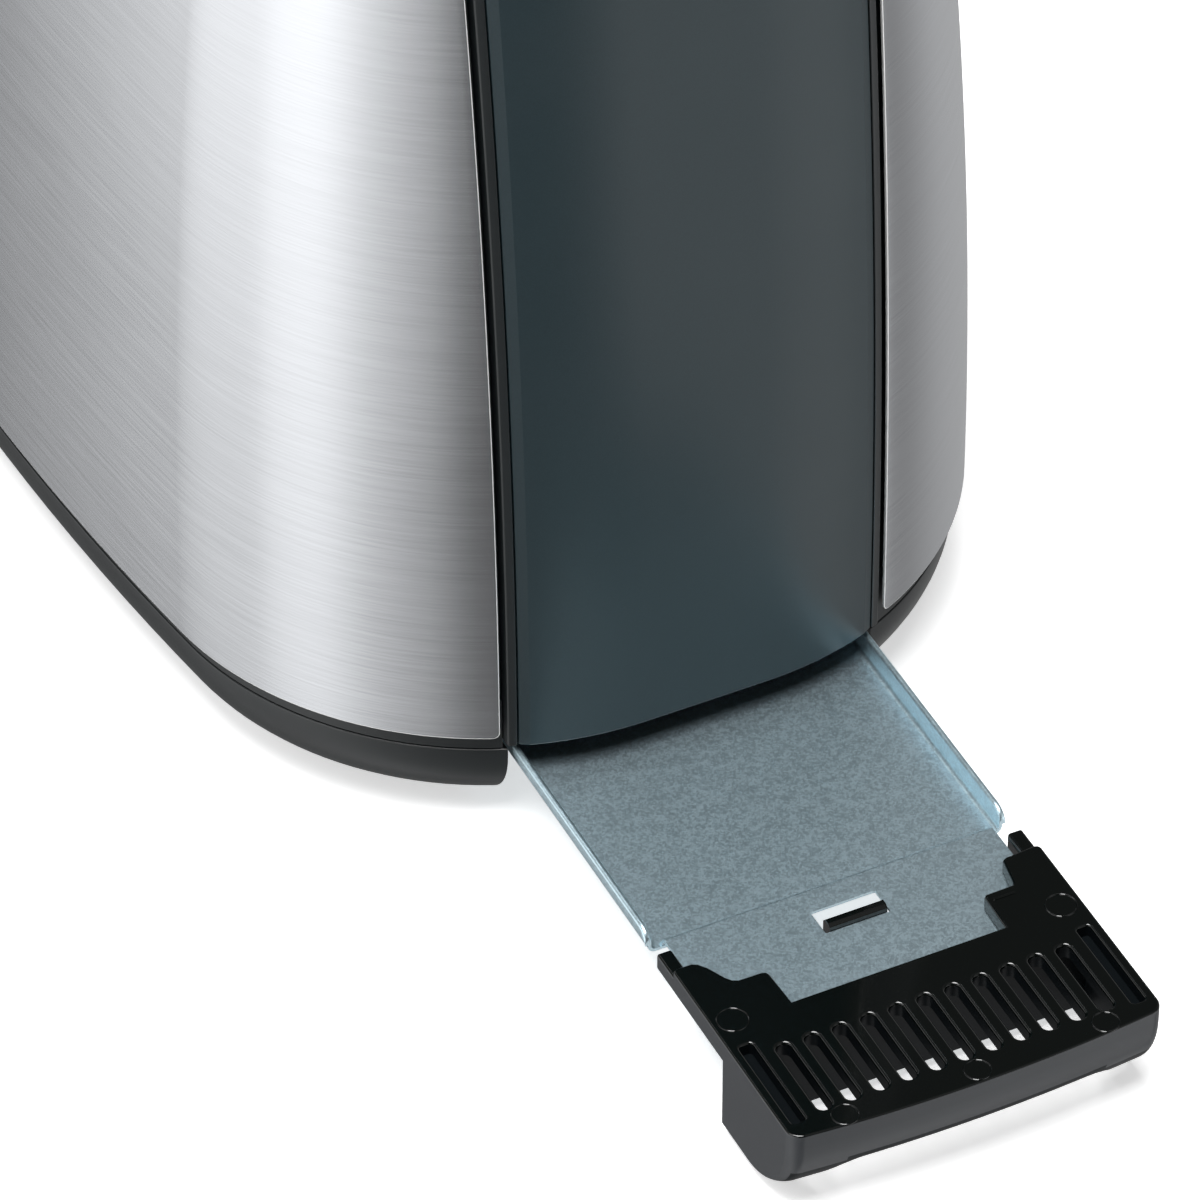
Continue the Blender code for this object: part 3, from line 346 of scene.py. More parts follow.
class Graph:
    """A material's or world's node tree with short calls to add and join nodes."""

    def __init__(self, tree: bpy.types.NodeTree) -> None:
        """Keeps the tree."""
        self.tree = tree

    def add(self, kind: str, inputs: Optional[dict] = None, **settings: object) -> bpy.types.Node:
        """Adds a node.

        Args:
            kind: the node's type.
            inputs: input name or index to a value, or to a socket to link from.
            **settings: the node's own properties.

        Returns:
            The new node.
        """
        node = self.tree.nodes.new(kind)
        for name, value in settings.items():
            setattr(node, name, value)
        for key, value in (inputs or {}).items():
            if isinstance(value, bpy.types.NodeSocket):
                self.tree.links.new(value, node.inputs[key])
            else:
                node.inputs[key].default_value = value
        return node

    def math(self, operation: str, *values: object) -> bpy.types.NodeSocket:
        """A Math node's result."""
        return self.add("ShaderNodeMath", dict(enumerate(values)), operation=operation).outputs[0]

    def spread(
        self, value: object, low: float, high: float, to_low: float, to_high: float
    ) -> bpy.types.NodeSocket:
        """Maps a value from one range to another, smoothly and clamped."""
        node = self.add(
            "ShaderNodeMapRange",
            {"Value": value, "From Min": low, "From Max": high, "To Min": to_low, "To Max": to_high},
            interpolation_type="SMOOTHSTEP",
        )
        return node.outputs["Result"]

    @staticmethod
    def socket(sockets: Sequence[bpy.types.NodeSocket], identifier: str) -> bpy.types.NodeSocket:
        """The socket with an identifier, where several share a name."""
        return next(s for s in sockets if s.identifier == identifier)

    def mix(self, factor: object, first: object, second: object) -> bpy.types.NodeSocket:
        """Mixes two colours."""
        node = self.add("ShaderNodeMix", data_type="RGBA")
        for key, value in (("Factor_Float", factor), ("A_Color", first), ("B_Color", second)):
            socket = self.socket(node.inputs, key)
            if isinstance(value, bpy.types.NodeSocket):
                self.tree.links.new(value, socket)
            else:
                socket.default_value = value
        return self.socket(node.outputs, "Result_Color")

    def noise(
        self, vector: object, scale: float, detail: float = 2.0, roughness: float = 0.5
    ) -> bpy.types.NodeSocket:
        """A noise texture's value."""
        inputs = {"Vector": vector, "Scale": scale, "Detail": detail, "Roughness": roughness}
        return self.add("ShaderNodeTexNoise", inputs).outputs["Fac"]

    def mapped(
        self, source: object, scale: Point = (1, 1, 1), turn: Point = (0, 0, 0)
    ) -> bpy.types.NodeSocket:
        """Scales and turns a coordinate."""
        return self.add("ShaderNodeMapping", {"Vector": source, "Scale": scale, "Rotation": turn}).outputs[0]

    def objects(self) -> bpy.types.NodeSocket:
        """Object coordinates, in metres."""
        return self.add("ShaderNodeTexCoord").outputs["Object"]

    def flow(self) -> bpy.types.NodeSocket:
        """The piece's own map, in metres along and across its grain."""
        return self.add("ShaderNodeUVMap", uv_map=GRAIN_MAP).outputs["UV"]

    def bump(
        self, height: object, distance: float, strength: float = 1.0, normal: object = None
    ) -> bpy.types.NodeSocket:
        """A bump node's normal."""
        inputs = {"Height": height, "Distance": distance, "Strength": strength}
        if normal is not None:
            inputs["Normal"] = normal
        return self.add("ShaderNodeBump", inputs).outputs["Normal"]


Colour = tuple[float, float, float]


@dataclass(frozen=True)
class Finish:
    """A surface: its colour and shine, which subclasses give their detail."""

    name: str
    slot: str
    colour: Colour
    roughness: float
    metallic: float = 0.0
    specular: float = 0.5

    def material(self) -> bpy.types.Material:
        """The finish's material, made once."""
        made = bpy.data.materials.get(self.name)
        if made is None:
            made = bpy.data.materials.new(self.name)
            made.use_nodes = True
            graph = Graph(made.node_tree)
            shader = made.node_tree.nodes["Principled BSDF"]
            shader.inputs["Base Color"].default_value = (*self.colour, 1.0)
            shader.inputs["Roughness"].default_value = self.roughness
            shader.inputs["Metallic"].default_value = self.metallic
            shader.inputs["Specular IOR Level"].default_value = self.specular
            made.diffuse_color = (*self.colour, 1.0)
            self.detail(graph, shader)
        return made

    def detail(self, graph: Graph, shader: bpy.types.Node) -> None:
        """Adds what makes the surface look like itself."""

    def tint(self, share: float) -> tuple[float, float, float, float]:
        """The colour made lighter or darker by a share."""
        return (*(min(1.0, c * share) for c in self.colour), 1.0)

    def wire_up(self, graph: Graph, shader: bpy.types.Node, **sockets: object) -> None:
        """Links sockets to the shader's inputs, named with underscores for spaces."""
        for name, socket in sockets.items():
            graph.tree.links.new(socket, shader.inputs[name.replace("_", " ")])


@dataclass(frozen=True)
class BrushedSteel(Finish):
    """Stainless sheet, brushed along its own length."""

    anisotropy: float = 1.0

    def detail(self, graph: Graph, shader: bpy.types.Node) -> None:
        """Fine lines along the grain, in tone, shine and height."""
        flow = graph.flow()
        hair = graph.noise(graph.mapped(flow, (42, 3600, 1), (0.5, 0.4, 0.6)), 1.0, 3.0, 0.65)
        streak = graph.noise(graph.mapped(flow, (12, 900, 1), (0.3, 0.6, 0.9)), 1.0, 2.0, 0.5)
        cloud = graph.noise(flow, 14.0, 2.0)
        tone = graph.math("ADD", graph.math("MULTIPLY", hair, 0.85), graph.math("MULTIPLY", streak, 0.15))
        colour = graph.mix(graph.spread(tone, 0.32, 0.68, 0.0, 1.0), self.tint(0.955), self.tint(1.045))
        rough = graph.math(
            "ADD", graph.spread(hair, 0.3, 0.7, self.roughness - 0.02, self.roughness + 0.02),
            graph.spread(cloud, 0.35, 0.65, -0.008, 0.008),
        )
        normal = graph.bump(hair, 0.0000015, 0.15)
        tangent = graph.add("ShaderNodeTangent", direction_type="UV_MAP", uv_map=GRAIN_MAP).outputs[0]
        shader.inputs["Anisotropic"].default_value = self.anisotropy
        shader.inputs["Anisotropic Rotation"].default_value = 0.25
        self.wire_up(graph, shader, Base_Color=colour, Roughness=rough, Normal=normal, Tangent=tangent)


@dataclass(frozen=True)
class EdgeWithPaintedHighlight(Finish):
    """The cut and rolled edge of a steel sheet, made bright by a pale, part-diffuse colour: a painted
    highlight over the bare metal.
    """

    def detail(self, graph: Graph, shader: bpy.types.Node) -> None:
        """Faint nicks along the edge."""
        nick = graph.noise(graph.objects(), 900.0, 2.0)
        rough = graph.spread(nick, 0.3, 0.7, self.roughness - 0.04, self.roughness + 0.08)
        self.wire_up(graph, shader, Roughness=rough, Normal=graph.bump(nick, 0.00001, 0.3))


@dataclass(frozen=True)
class Galvanised(Finish):
    """Zinc coated sheet with a fine spangle and rolling marks."""

    def detail(self, graph: Graph, shader: bpy.types.Node) -> None:
        """Crystals of zinc in several tones, a mottle and faint lines along Y."""
        place = graph.objects()
        warped = graph.add("ShaderNodeTexNoise", {"Vector": place, "Scale": 700.0, "Detail": 2.0})
        bent = graph.add("ShaderNodeMix", data_type="VECTOR")
        graph.tree.links.new(place, graph.socket(bent.inputs, "A_Vector"))
        graph.tree.links.new(warped.outputs["Color"], graph.socket(bent.inputs, "B_Vector"))
        graph.socket(bent.inputs, "Factor_Float").default_value = 0.0009
        crystal = graph.add(
            "ShaderNodeTexVoronoi",
            {"Vector": graph.socket(bent.outputs, "Result_Vector"), "Scale": 2600.0},
        ).outputs["Color"]
        grey = graph.add("ShaderNodeSeparateColor", {"Color": crystal}).outputs[0]
        mottle = graph.noise(place, 420.0, 4.0, 0.62)
        lines = graph.noise(graph.mapped(place, (2600, 40, 40)), 1.0, 2.0)
        tone = graph.math("ADD", graph.math("MULTIPLY", grey, 0.45), graph.math("MULTIPLY", mottle, 0.55))
        colour = graph.mix(graph.spread(tone, 0.28, 0.72, 0.0, 1.0), self.tint(0.93), self.tint(1.06))
        rough = graph.spread(tone, 0.25, 0.75, self.roughness - 0.03, self.roughness + 0.03)
        normal = graph.bump(lines, 0.00001, 0.3, graph.bump(grey, 0.000012, 0.25))
        self.wire_up(graph, shader, Base_Color=colour, Roughness=rough, Normal=normal)


@dataclass(frozen=True)
class SatinMoulding(Finish):
    """Moulded plastic with a fine spark-eroded grain."""

    grain: float = 5200.0
    depth: float = 0.000016
    fleck: float = 0.10

    def detail(self, graph: Graph, shader: bpy.types.Node) -> None:
        """A pebbled grain, a slight fleck in the colour and broad handling marks in the shine."""
        place = graph.objects()
        pebble = graph.noise(place, self.grain, 2.0, 0.55)
        broad = graph.noise(place, 38.0, 3.0)
        colour = graph.mix(
            graph.spread(pebble, 0.3, 0.7, 0.0, 1.0), self.tint(1 - self.fleck), self.tint(1 + self.fleck)
        )
        rough = graph.math(
            "ADD", graph.spread(pebble, 0.25, 0.75, self.roughness - 0.04, self.roughness + 0.05),
            graph.spread(broad, 0.3, 0.7, -0.015, 0.02),
        )
        self.wire_up(
            graph, shader, Base_Color=colour, Roughness=rough, Normal=graph.bump(pebble, self.depth, 0.5)
        )


@dataclass(frozen=True)
class GlossMoulding(Finish):
    """Polished black plastic with faint flow ripple and fine wear."""

    def detail(self, graph: Graph, shader: bpy.types.Node) -> None:
        """A long ripple in the skin, and hairline scuffs that dull it a little."""
        place = graph.objects()
        ripple = graph.noise(place, 46.0, 2.0)
        scuff = graph.noise(graph.mapped(place, (500, 9000, 3000), (0.2, 0.4, 0.5)), 1.0, 2.0)
        rough = graph.spread(scuff, 0.55, 0.8, self.roughness, self.roughness + 0.10)
        shader.inputs["Coat Weight"].default_value = 0.3
        shader.inputs["Coat Roughness"].default_value = 0.06
        self.wire_up(graph, shader, Roughness=rough, Normal=graph.bump(ripple, 0.00006, 0.2))


@dataclass(frozen=True)
class DrawnMetal(Finish):
    """Bright wire and turned parts."""

    def detail(self, graph: Graph, shader: bpy.types.Node) -> None:
        """Fine tooling marks and a slight heat tone."""
        place = graph.objects()
        mark = graph.noise(graph.mapped(place, (2200, 2200, 700)), 1.0, 2.0)
        tone = graph.noise(place, 60.0, 2.0)
        colour = graph.mix(graph.spread(tone, 0.3, 0.7, 0.0, 1.0), self.tint(0.84), self.tint(1.06))
        rough = graph.spread(mark, 0.3, 0.7, self.roughness - 0.06, self.roughness + 0.08)
        self.wire_up(graph, shader, Base_Color=colour, Roughness=rough, Normal=graph.bump(mark, 0.00001, 0.3))


@dataclass(frozen=True)
class MatteRubber(Finish):
    """Black rubber with a dusty bloom."""

    def detail(self, graph: Graph, shader: bpy.types.Node) -> None:
        """A soft grain and paler patches."""
        place = graph.objects()
        bloom = graph.noise(place, 240.0, 4.0)
        colour = graph.mix(graph.spread(bloom, 0.45, 0.75, 0.0, 1.0), self.tint(0.9), self.tint(1.7))
        grain = graph.noise(place, 3800.0, 2.0)
        self.wire_up(graph, shader, Base_Color=colour, Normal=graph.bump(grain, 0.00003, 0.5))


@dataclass(frozen=True)
class MicaBoard(Finish):
    """Pressed mica: pearly flakes in a tan binder."""

    def detail(self, graph: Graph, shader: bpy.types.Node) -> None:
        """Flakes of several tones and sizes."""
        place = graph.objects()
        flake = graph.add("ShaderNodeTexVoronoi", {"Vector": place, "Scale": 420.0}).outputs["Color"]
        grey = graph.add("ShaderNodeSeparateColor", {"Color": flake}).outputs[1]
        cloud = graph.noise(place, 90.0, 4.0)
        tone = graph.math("ADD", graph.math("MULTIPLY", grey, 0.5), graph.math("MULTIPLY", cloud, 0.5))
        colour = graph.mix(graph.spread(tone, 0.25, 0.75, 0.0, 1.0), self.tint(0.72), self.tint(1.22))
        rough = graph.spread(grey, 0.0, 1.0, self.roughness - 0.2, self.roughness + 0.15)
        self.wire_up(graph, shader, Base_Color=colour, Roughness=rough, Normal=graph.bump(grey, 0.00002, 0.4))


@dataclass(frozen=True)
class CircuitLacquer(Finish):
    """A circuit board's lacquer over its copper tracks."""

    def detail(self, graph: Graph, shader: bpy.types.Node) -> None:
        """Square-cornered tracks that show paler through the lacquer."""
        place = graph.objects()
        brick = graph.add(
            "ShaderNodeTexBrick",
            {"Vector": graph.mapped(
                place, (1, 1, 1), (math.pi / 2, 0, 0)
            ), "Scale": 60.0, "Mortar Size": 0.08,
             "Color1": self.tint(0.8), "Color2": self.tint(1.0), "Mortar": self.tint(1.9)},
        ).outputs["Color"]
        self.wire_up(
            graph, shader, Base_Color=brick, Normal=graph.bump(graph.noise(place, 400.0), 0.00002, 0.3)
        )


class Look(Enum):
    """The finishes that the toaster is dressed in."""

    STEEL = BrushedSteel("brushed_steel_skin", "steel_skin", (0.66, 0.675, 0.70), 0.22, 1.0)
    # EDGE: a pale colour with low metallic paints a bright highlight line along the skins' cut edges
    EDGE = EdgeWithPaintedHighlight("steel_edge_painted_highlight", "steel_skin", (0.86, 0.86, 0.85), 0.34, 0.4)
    PANEL = SatinMoulding(
        "anthracite_end_panel", "panel_plastic", (0.0105, 0.0225, 0.0275), 0.36, grain=3600.0
    )
    MOULDING = SatinMoulding("dark_grey_moulding", "moulded_plastic", (0.010, 0.0125, 0.0135), 0.34)
    # GRIP_SIDE: a lighter copy of the handle's black plastic for its sides; the extra lightness is a painted
    # reflection of the pale floor, and the satin grain is real
    GRIP_SIDE = SatinMoulding(
        "satin_moulding_painted_floor_reflection", "gloss_black", (0.026, 0.029, 0.033), 0.34, grain=6000.0, depth=0.000008
    )
    # SHADE: a dull copy of the handle plastic with weak specular on the walls inside the slots and pockets:
    # painted shade in those recesses
    SHADE = SatinMoulding(
        "slot_wall_painted_shade", "gloss_black", (0.0030, 0.0045, 0.0055), 0.40, specular=0.12
    )
    GLOSS = GlossMoulding("polished_black_moulding", "gloss_black", (0.0012, 0.0020, 0.0017), 0.09)
    ZINC = Galvanised("zinc_coated_sheet", "galvanised_sheet", (0.64, 0.81, 0.885), 0.38, 0.95)
    WIRE = DrawnMetal("bright_drawn_metal", "wire", (0.56, 0.57, 0.59), 0.26, 1.0)
    RIBBON = DrawnMetal("heating_ribbon", "mica", (0.30, 0.27, 0.25), 0.38, 1.0)
    COPPER = DrawnMetal("enamelled_copper", "wire", (0.62, 0.26, 0.11), 0.30, 1.0)
    RUBBER = MatteRubber("black_rubber", "rubber", (0.016, 0.016, 0.017), 0.78)
    MICA = MicaBoard("mica_board", "mica", (0.56, 0.46, 0.30), 0.55)
    BOARD = CircuitLacquer("circuit_lacquer", "circuit_board", (0.03, 0.15, 0.06), 0.30)
    PRINT = SatinMoulding("pale_print", "gloss_black", (0.62, 0.64, 0.65), 0.45, grain=4000.0)


# --- Pieces -------------------------------------------------------------------------------


class Workbench:
    """Turns meshes, measured from the casing's centre, into finished pieces on their bodies."""

    def __init__(self) -> None:
        """Finds how far the casing's centre lies along Y."""
        self.shift = Vector((0, (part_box("end_panel")[0].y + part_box("control_panel")[1].y) / 2, 0))

    def low(self, node: str) -> Vector:
        """The low corner of a node's box, from the casing's centre."""
        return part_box(node)[0] - self.shift

    def high(self, node: str) -> Vector:
        """The high corner of a node's box, from the casing's centre."""
        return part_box(node)[1] - self.shift

    def centre(self, node: str) -> Vector:
        """The middle of a node's box, from the casing's centre."""
        return (self.low(node) + self.high(node)) / 2

    def made(self, name: str, bm: BMesh, looks: Sequence[Look], smooth: float = 35.0,
             flow: Optional[Callable[[Vector], tuple[float, float]]] = None) -> bpy.types.Object:
        """Makes a piece that no body carries yet.

        Args:
            name: the piece's name.
            bm: its mesh, which is freed.
            looks: its finishes, the first of which gives its material slot.
            smooth: the angle in degrees up to which faces are shaded smooth.
            flow: gives the grain map, along and across, for a place.

        Returns:
            The new object.
        """
        if flow:
            layer = bm.loops.layers.uv.new(GRAIN_MAP)
            for face in bm.faces:
                for loop in face.loops:
                    loop[layer].uv = flow(loop.vert.co)
        bmesh.ops.translate(bm, vec=self.shift, verts=bm.verts[:])
        mesh = bpy.data.meshes.new(name)
        bm.to_mesh(mesh)
        bm.free()
        for look in looks:
            mesh.materials.append(look.value.material())
        mesh.shade_smooth()
        mesh.set_sharp_from_angle(angle=math.radians(smooth))
        obj = bpy.data.objects.new(name, mesh)
        bpy.context.scene.collection.objects.link(obj)
        weigh = obj.modifiers.new("weigh", "WEIGHTED_NORMAL")
        weigh.keep_sharp = True
        LOG.info("%s: %d faces", name, len(mesh.polygons))
        return obj

    def piece(self, name: str, bm: BMesh, looks: Sequence[Look], body: str, replaces: Sequence[str] = (),
              smooth: float = 35.0, flow: Optional[
                  Callable[[Vector], tuple[float, float]]
              ] = None) -> bpy.types.Object:
        """Makes a piece and sets it on a body.

        Args:
            name: the piece's name.
            bm: its mesh, which is freed.
            looks: its finishes, the first of which gives its material slot.
            body: the body that it rides on.
            replaces: the nodes that it stands for.
            smooth: the angle in degrees up to which faces are shaded smooth.
            flow: gives the grain map, along and across, for a place.

        Returns:
            The new object.
        """
        obj = self.made(name, bm, looks, smooth, flow)
        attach(obj, body)
        if replaces:
            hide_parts(*replaces)
        return obj

    def dress(self, look: Look, *nodes: str) -> None:
        """Gives nodes of the working model their finish."""
        for name in nodes:
            for material_slot in frame["nodes"][name].material_slots:
                material_slot.material = look.value.material()
            LOG.info("%s: kept, %s", name, look.value.name)


def paint(bm: BMesh, index: int, chosen: Callable[[BMFace], bool]) -> None:
    """Gives the chosen faces the material with the given index."""
    bm.normal_update()
    for face in bm.faces:
        if chosen(face):
            face.material_index = index


# --- Casing -------------------------------------------------------------------------------


@dataclass(frozen=True)
class CasingForm:
    """The casing's outline seen from above, four arcs to a quarter, and the lean of its walls."""

    half_width: float = 0.0866
    half_length: float = 0.165
    side_radius: float = 0.707
    corner_radius: float = 0.067
    end_radius: float = 2.0
    lean_radius: float = 1.374
    lean_start: float = 0.022

    @cached_property
    def corner(self) -> Vector:
        """Centre of the corner arc that touches the side arc and the end arc."""
        side, end = Vector(
            (self.half_width - self.side_radius, 0)
        ), Vector((0, self.half_length - self.end_radius))
        to_side, to_end = self.side_radius - self.corner_radius, self.end_radius - self.corner_radius
        span = (end - side).length
        along = (to_side**2 - to_end**2 + span**2) / (2 * span)
        unit = (end - side) / span
        across = math.sqrt(to_side**2 - along**2) * (1 if unit.y < 0 else -1)
        return side + along * unit + across * Vector((-unit.y, unit.x))

    @cached_property
    def side_angle(self) -> float:
        """Direction in which the side arc ends."""
        return math.atan2(self.corner.y, self.corner.x - self.half_width + self.side_radius)

    @cached_property
    def end_angle(self) -> float:
        """Direction in which the end arc begins."""
        return math.atan2(self.corner.y - self.half_length + self.end_radius, self.corner.x)

    def point(self, angle: float, inset: float) -> tuple[float, float]:
        """Where the outline, drawn in by the inset, faces the given direction."""
        c, s = math.cos(angle), math.sin(angle)
        quarter = math.atan2(abs(s), abs(c))
        centre, radius = self.corner, self.corner_radius
        if quarter < self.side_angle:
            centre, radius = Vector((self.half_width - self.side_radius, 0)), self.side_radius
        elif quarter > self.end_angle:
            centre, radius = Vector((0, self.half_length - self.end_radius)), self.end_radius
        x, y = centre.x + (radius - inset) * abs(c), centre.y + (radius - inset) * abs(s)
        return math.copysign(x, c), math.copysign(y, s)

    def lean(self, z: float) -> float:
        """How far the wall has come in at a height."""
        return max(0.0, z - self.lean_start) ** 2 / (2 * self.lean_radius)

    def end_y(self, x: float, inset: float) -> float:
        """How far out an end lies at this x."""
        x, reach = abs(x), self.end_radius - inset
        if x <= reach * math.cos(self.end_angle):
            return self.half_length - self.end_radius + math.sqrt(reach**2 - x**2)
        return self.corner.y + math.sqrt((self.corner_radius - inset) ** 2 - (x - self.corner.x) ** 2)

    def angle_at(self, x: float, inset: float) -> float:
        """Direction that the outline faces where the corner arc crosses this x."""
        return math.acos((x - self.corner.x) / (self.corner_radius - inset))

    def along(self, place: Vector) -> float:
        """How far round from the middle of a side a place lies, in metres."""
        x, y = abs(place.x), abs(place.y)
        if y < self.corner.y + self.corner_radius * math.sin(self.side_angle):
            run = self.side_radius * math.asin(min(1.0, y / self.side_radius))
        else:
            facing = math.atan2(y - self.corner.y, x - self.corner.x)
            run = self.side_radius * self.side_angle + self.corner_radius * (facing - self.side_angle)
        return math.copysign(run, place.y)

    def arc_angles(self, limit: float, side_steps: int, corner_steps: int) -> list[float]:
        """Directions from the middle of a side to the limit, close together on the corner."""
        side = [self.side_angle * i / side_steps for i in range(side_steps)]
        turn = limit - self.side_angle
        return side + [self.side_angle + turn * i / corner_steps for i in range(corner_steps + 1)]

    def ring_angles(self) -> list[float]:
        """Directions right round the outline."""
        quarter = self.arc_angles(self.end_angle, 12, 30) + [math.pi / 2]
        half = quarter + [math.pi - a for a in reversed(quarter[:-1])]
        return half + [math.tau - a for a in reversed(half[1:-1])]

    def ring(self, profile: Profile, closed: bool = False) -> BMesh:
        """Sweeps (inset, z) pairs right round the outline."""
        angles = self.ring_angles()
        return loft([[(*self.point(a, inset), z) for a in angles] for inset, z in profile], closed)

    def wrap(self, side: int, edge_x: float, z_low: float, z_high: float, inset: float, thickness: float,
             rows: int = 30) -> BMesh:
        """A stretch of wall round a long side and its two corners.

        Args:
            side: -1 for the left, +1 for the right.
            edge_x: where it stops on each end.
            z_low: its lowest height.
            z_high: its highest height.
            inset: how far its outer face lies inside the outline.
            thickness: the wall's thickness.
            rows: facets up its height.

        Returns:
            A new bmesh.
        """
        half_columns = 14 + 34

        def place(u: float, v: float, w: float) -> Point:
            """Bends the block round the casing."""
            z = z_low + (z_high - z_low) * v
            depth = inset + thickness * w + self.lean(z)
            angles = self.arc_angles(self.angle_at(edge_x, depth), 14, 34)
            x, y = self.point(angles[round(abs(2 * u - 1) * half_columns)], depth)
            return side * x, math.copysign(y, u - 0.5), z

        return slab(2 * half_columns, rows, place)

    def wall(self, end: int, stations: Sequence[float], heights: Sequence[float], inset: float,
             thickness: float, sink: Callable[[float, float], float] = lambda x, z: 0.0) -> BMesh:
        """A stretch of wall across an end.

        Args:
            end: -1 for the tray end, +1 for the control end.
            stations: the x of each column of points.
            heights: the z of each row of points.
            inset: how far its outer face lies inside the outline.
            thickness: the wall's thickness.
            sink: how much farther in the outer face lies at an (x, z).

        Returns:
            A new bmesh.
        """

        def place(u: float, v: float, w: float) -> Point:
            """Bends the block across the end."""
            x, z = stations[round(u * (len(stations) - 1))], heights[round(v * (len(heights) - 1))]
            more = sink(x, z) if w < 0.5 else 0.0
            return x, end * self.end_y(x, inset + thickness * w + more + self.lean(z)), z

        return slab(len(stations) - 1, len(heights) - 1, place)


def slab(columns: int, rows: int, place: Callable[[float, float, float], Point]) -> BMesh:
    """A sheet-like block of columns by rows, bent to place(u, v, w), each from 0 to 1."""
    bm = bmesh.new()
    bmesh.ops.create_grid(bm, x_segments=columns, y_segments=rows, size=0.5)
    made = bmesh.ops.extrude_face_region(bm, geom=bm.faces[:], use_keep_orig=True)["geom"]
    bmesh.ops.translate(bm, verts=[g for g in made if isinstance(g, BMVert)], vec=(0, 0, 1))
    for vert in bm.verts:
        vert.co = place(vert.co.x + 0.5, vert.co.y + 0.5, vert.co.z)
    bmesh.ops.recalc_face_normals(bm, faces=bm.faces[:])
    return bm


def spread(low: float, high: float, steps: int) -> list[float]:
    """Evenly spaced values, both ends included."""
    return [low + (high - low) * i / steps for i in range(steps + 1)]


@dataclass
class SideSkins:
    """The steel wraps round the long sides."""

    form: CasingForm
    edge_x: float = 0.0386
    z_low: float = 0.0245
    z_high: float = 0.1896
    thickness: float = 0.0009
    corner: float = 0.0018
    edge: float = 0.00022

    def build(self, bench: Workbench) -> None:
        """Bends both, rounds their corners and paints a highlight on their cut edges."""
        for name, side in (("side_panel_left", -1), ("side_panel_right", 1)):
            bm = self.form.wrap(side, self.edge_x, self.z_low, self.z_high, 0.0, self.thickness)
            short = [e for e in sharp_edges(bm, 60) if e.calc_length() < 1.3 * self.thickness]
            round_edges(bm, short, self.corner, 4)
            round_edges(bm, sharp_edges(bm, 60), self.edge, 2)
            # the cut edge and its bevel get the pale edge finish: a painted highlight
            paint(bm, 1, self.on_the_edge)
            bench.piece(
                f"steel_{name}", bm, (Look.STEEL, Look.EDGE), "casing", [name], 40.0,
                lambda place: (self.form.along(place), place.z),
            )

    def on_the_edge(self, face: BMFace) -> bool:
        """Whether a face is part of the cut edge, which gets the painted highlight."""
        place = face.calc_center_median()
        if abs(place.y) < self.form.corner.y:
            outward = Vector((math.copysign(1, place.x), 0, 0))
        else:
            outward = Vector((
                place.x - math.copysign(self.form.corner.x, place.x),
                place.y - math.copysign(self.form.corner.y, place.y), 0,
            )).normalized()
        return abs(face.normal.dot(outward)) < 0.95


def shaft_hole(bench: Workbench) -> BMesh:
    """The cutter that lets the browning knob's shaft through the control end."""
    profile = [(0, 0), (0.0045, 0), (0.0045, 0.04), (0, 0.04)]
    return turned((0, 0.14, bench.centre("browning_knob").z), profile, (0, 1, 0), 40)


def button_hole(bench: Workbench, name: str) -> BMesh:
    """The cutter that lets a button through the control end."""
    low, high = bench.low(name), bench.high(name)
    return block((low.x - HOLE_GAP, 0.14, low.z - HOLE_GAP), (high.x + HOLE_GAP, 0.2, high.z + HOLE_GAP))


def turn_about_y(bm: BMesh, angle: float) -> None:
    """Turns a mesh about the Y axis."""
    bmesh.ops.rotate(bm, cent=(0, 0, 0), matrix=Matrix.Rotation(angle, 3, "Y"), verts=bm.verts[:])


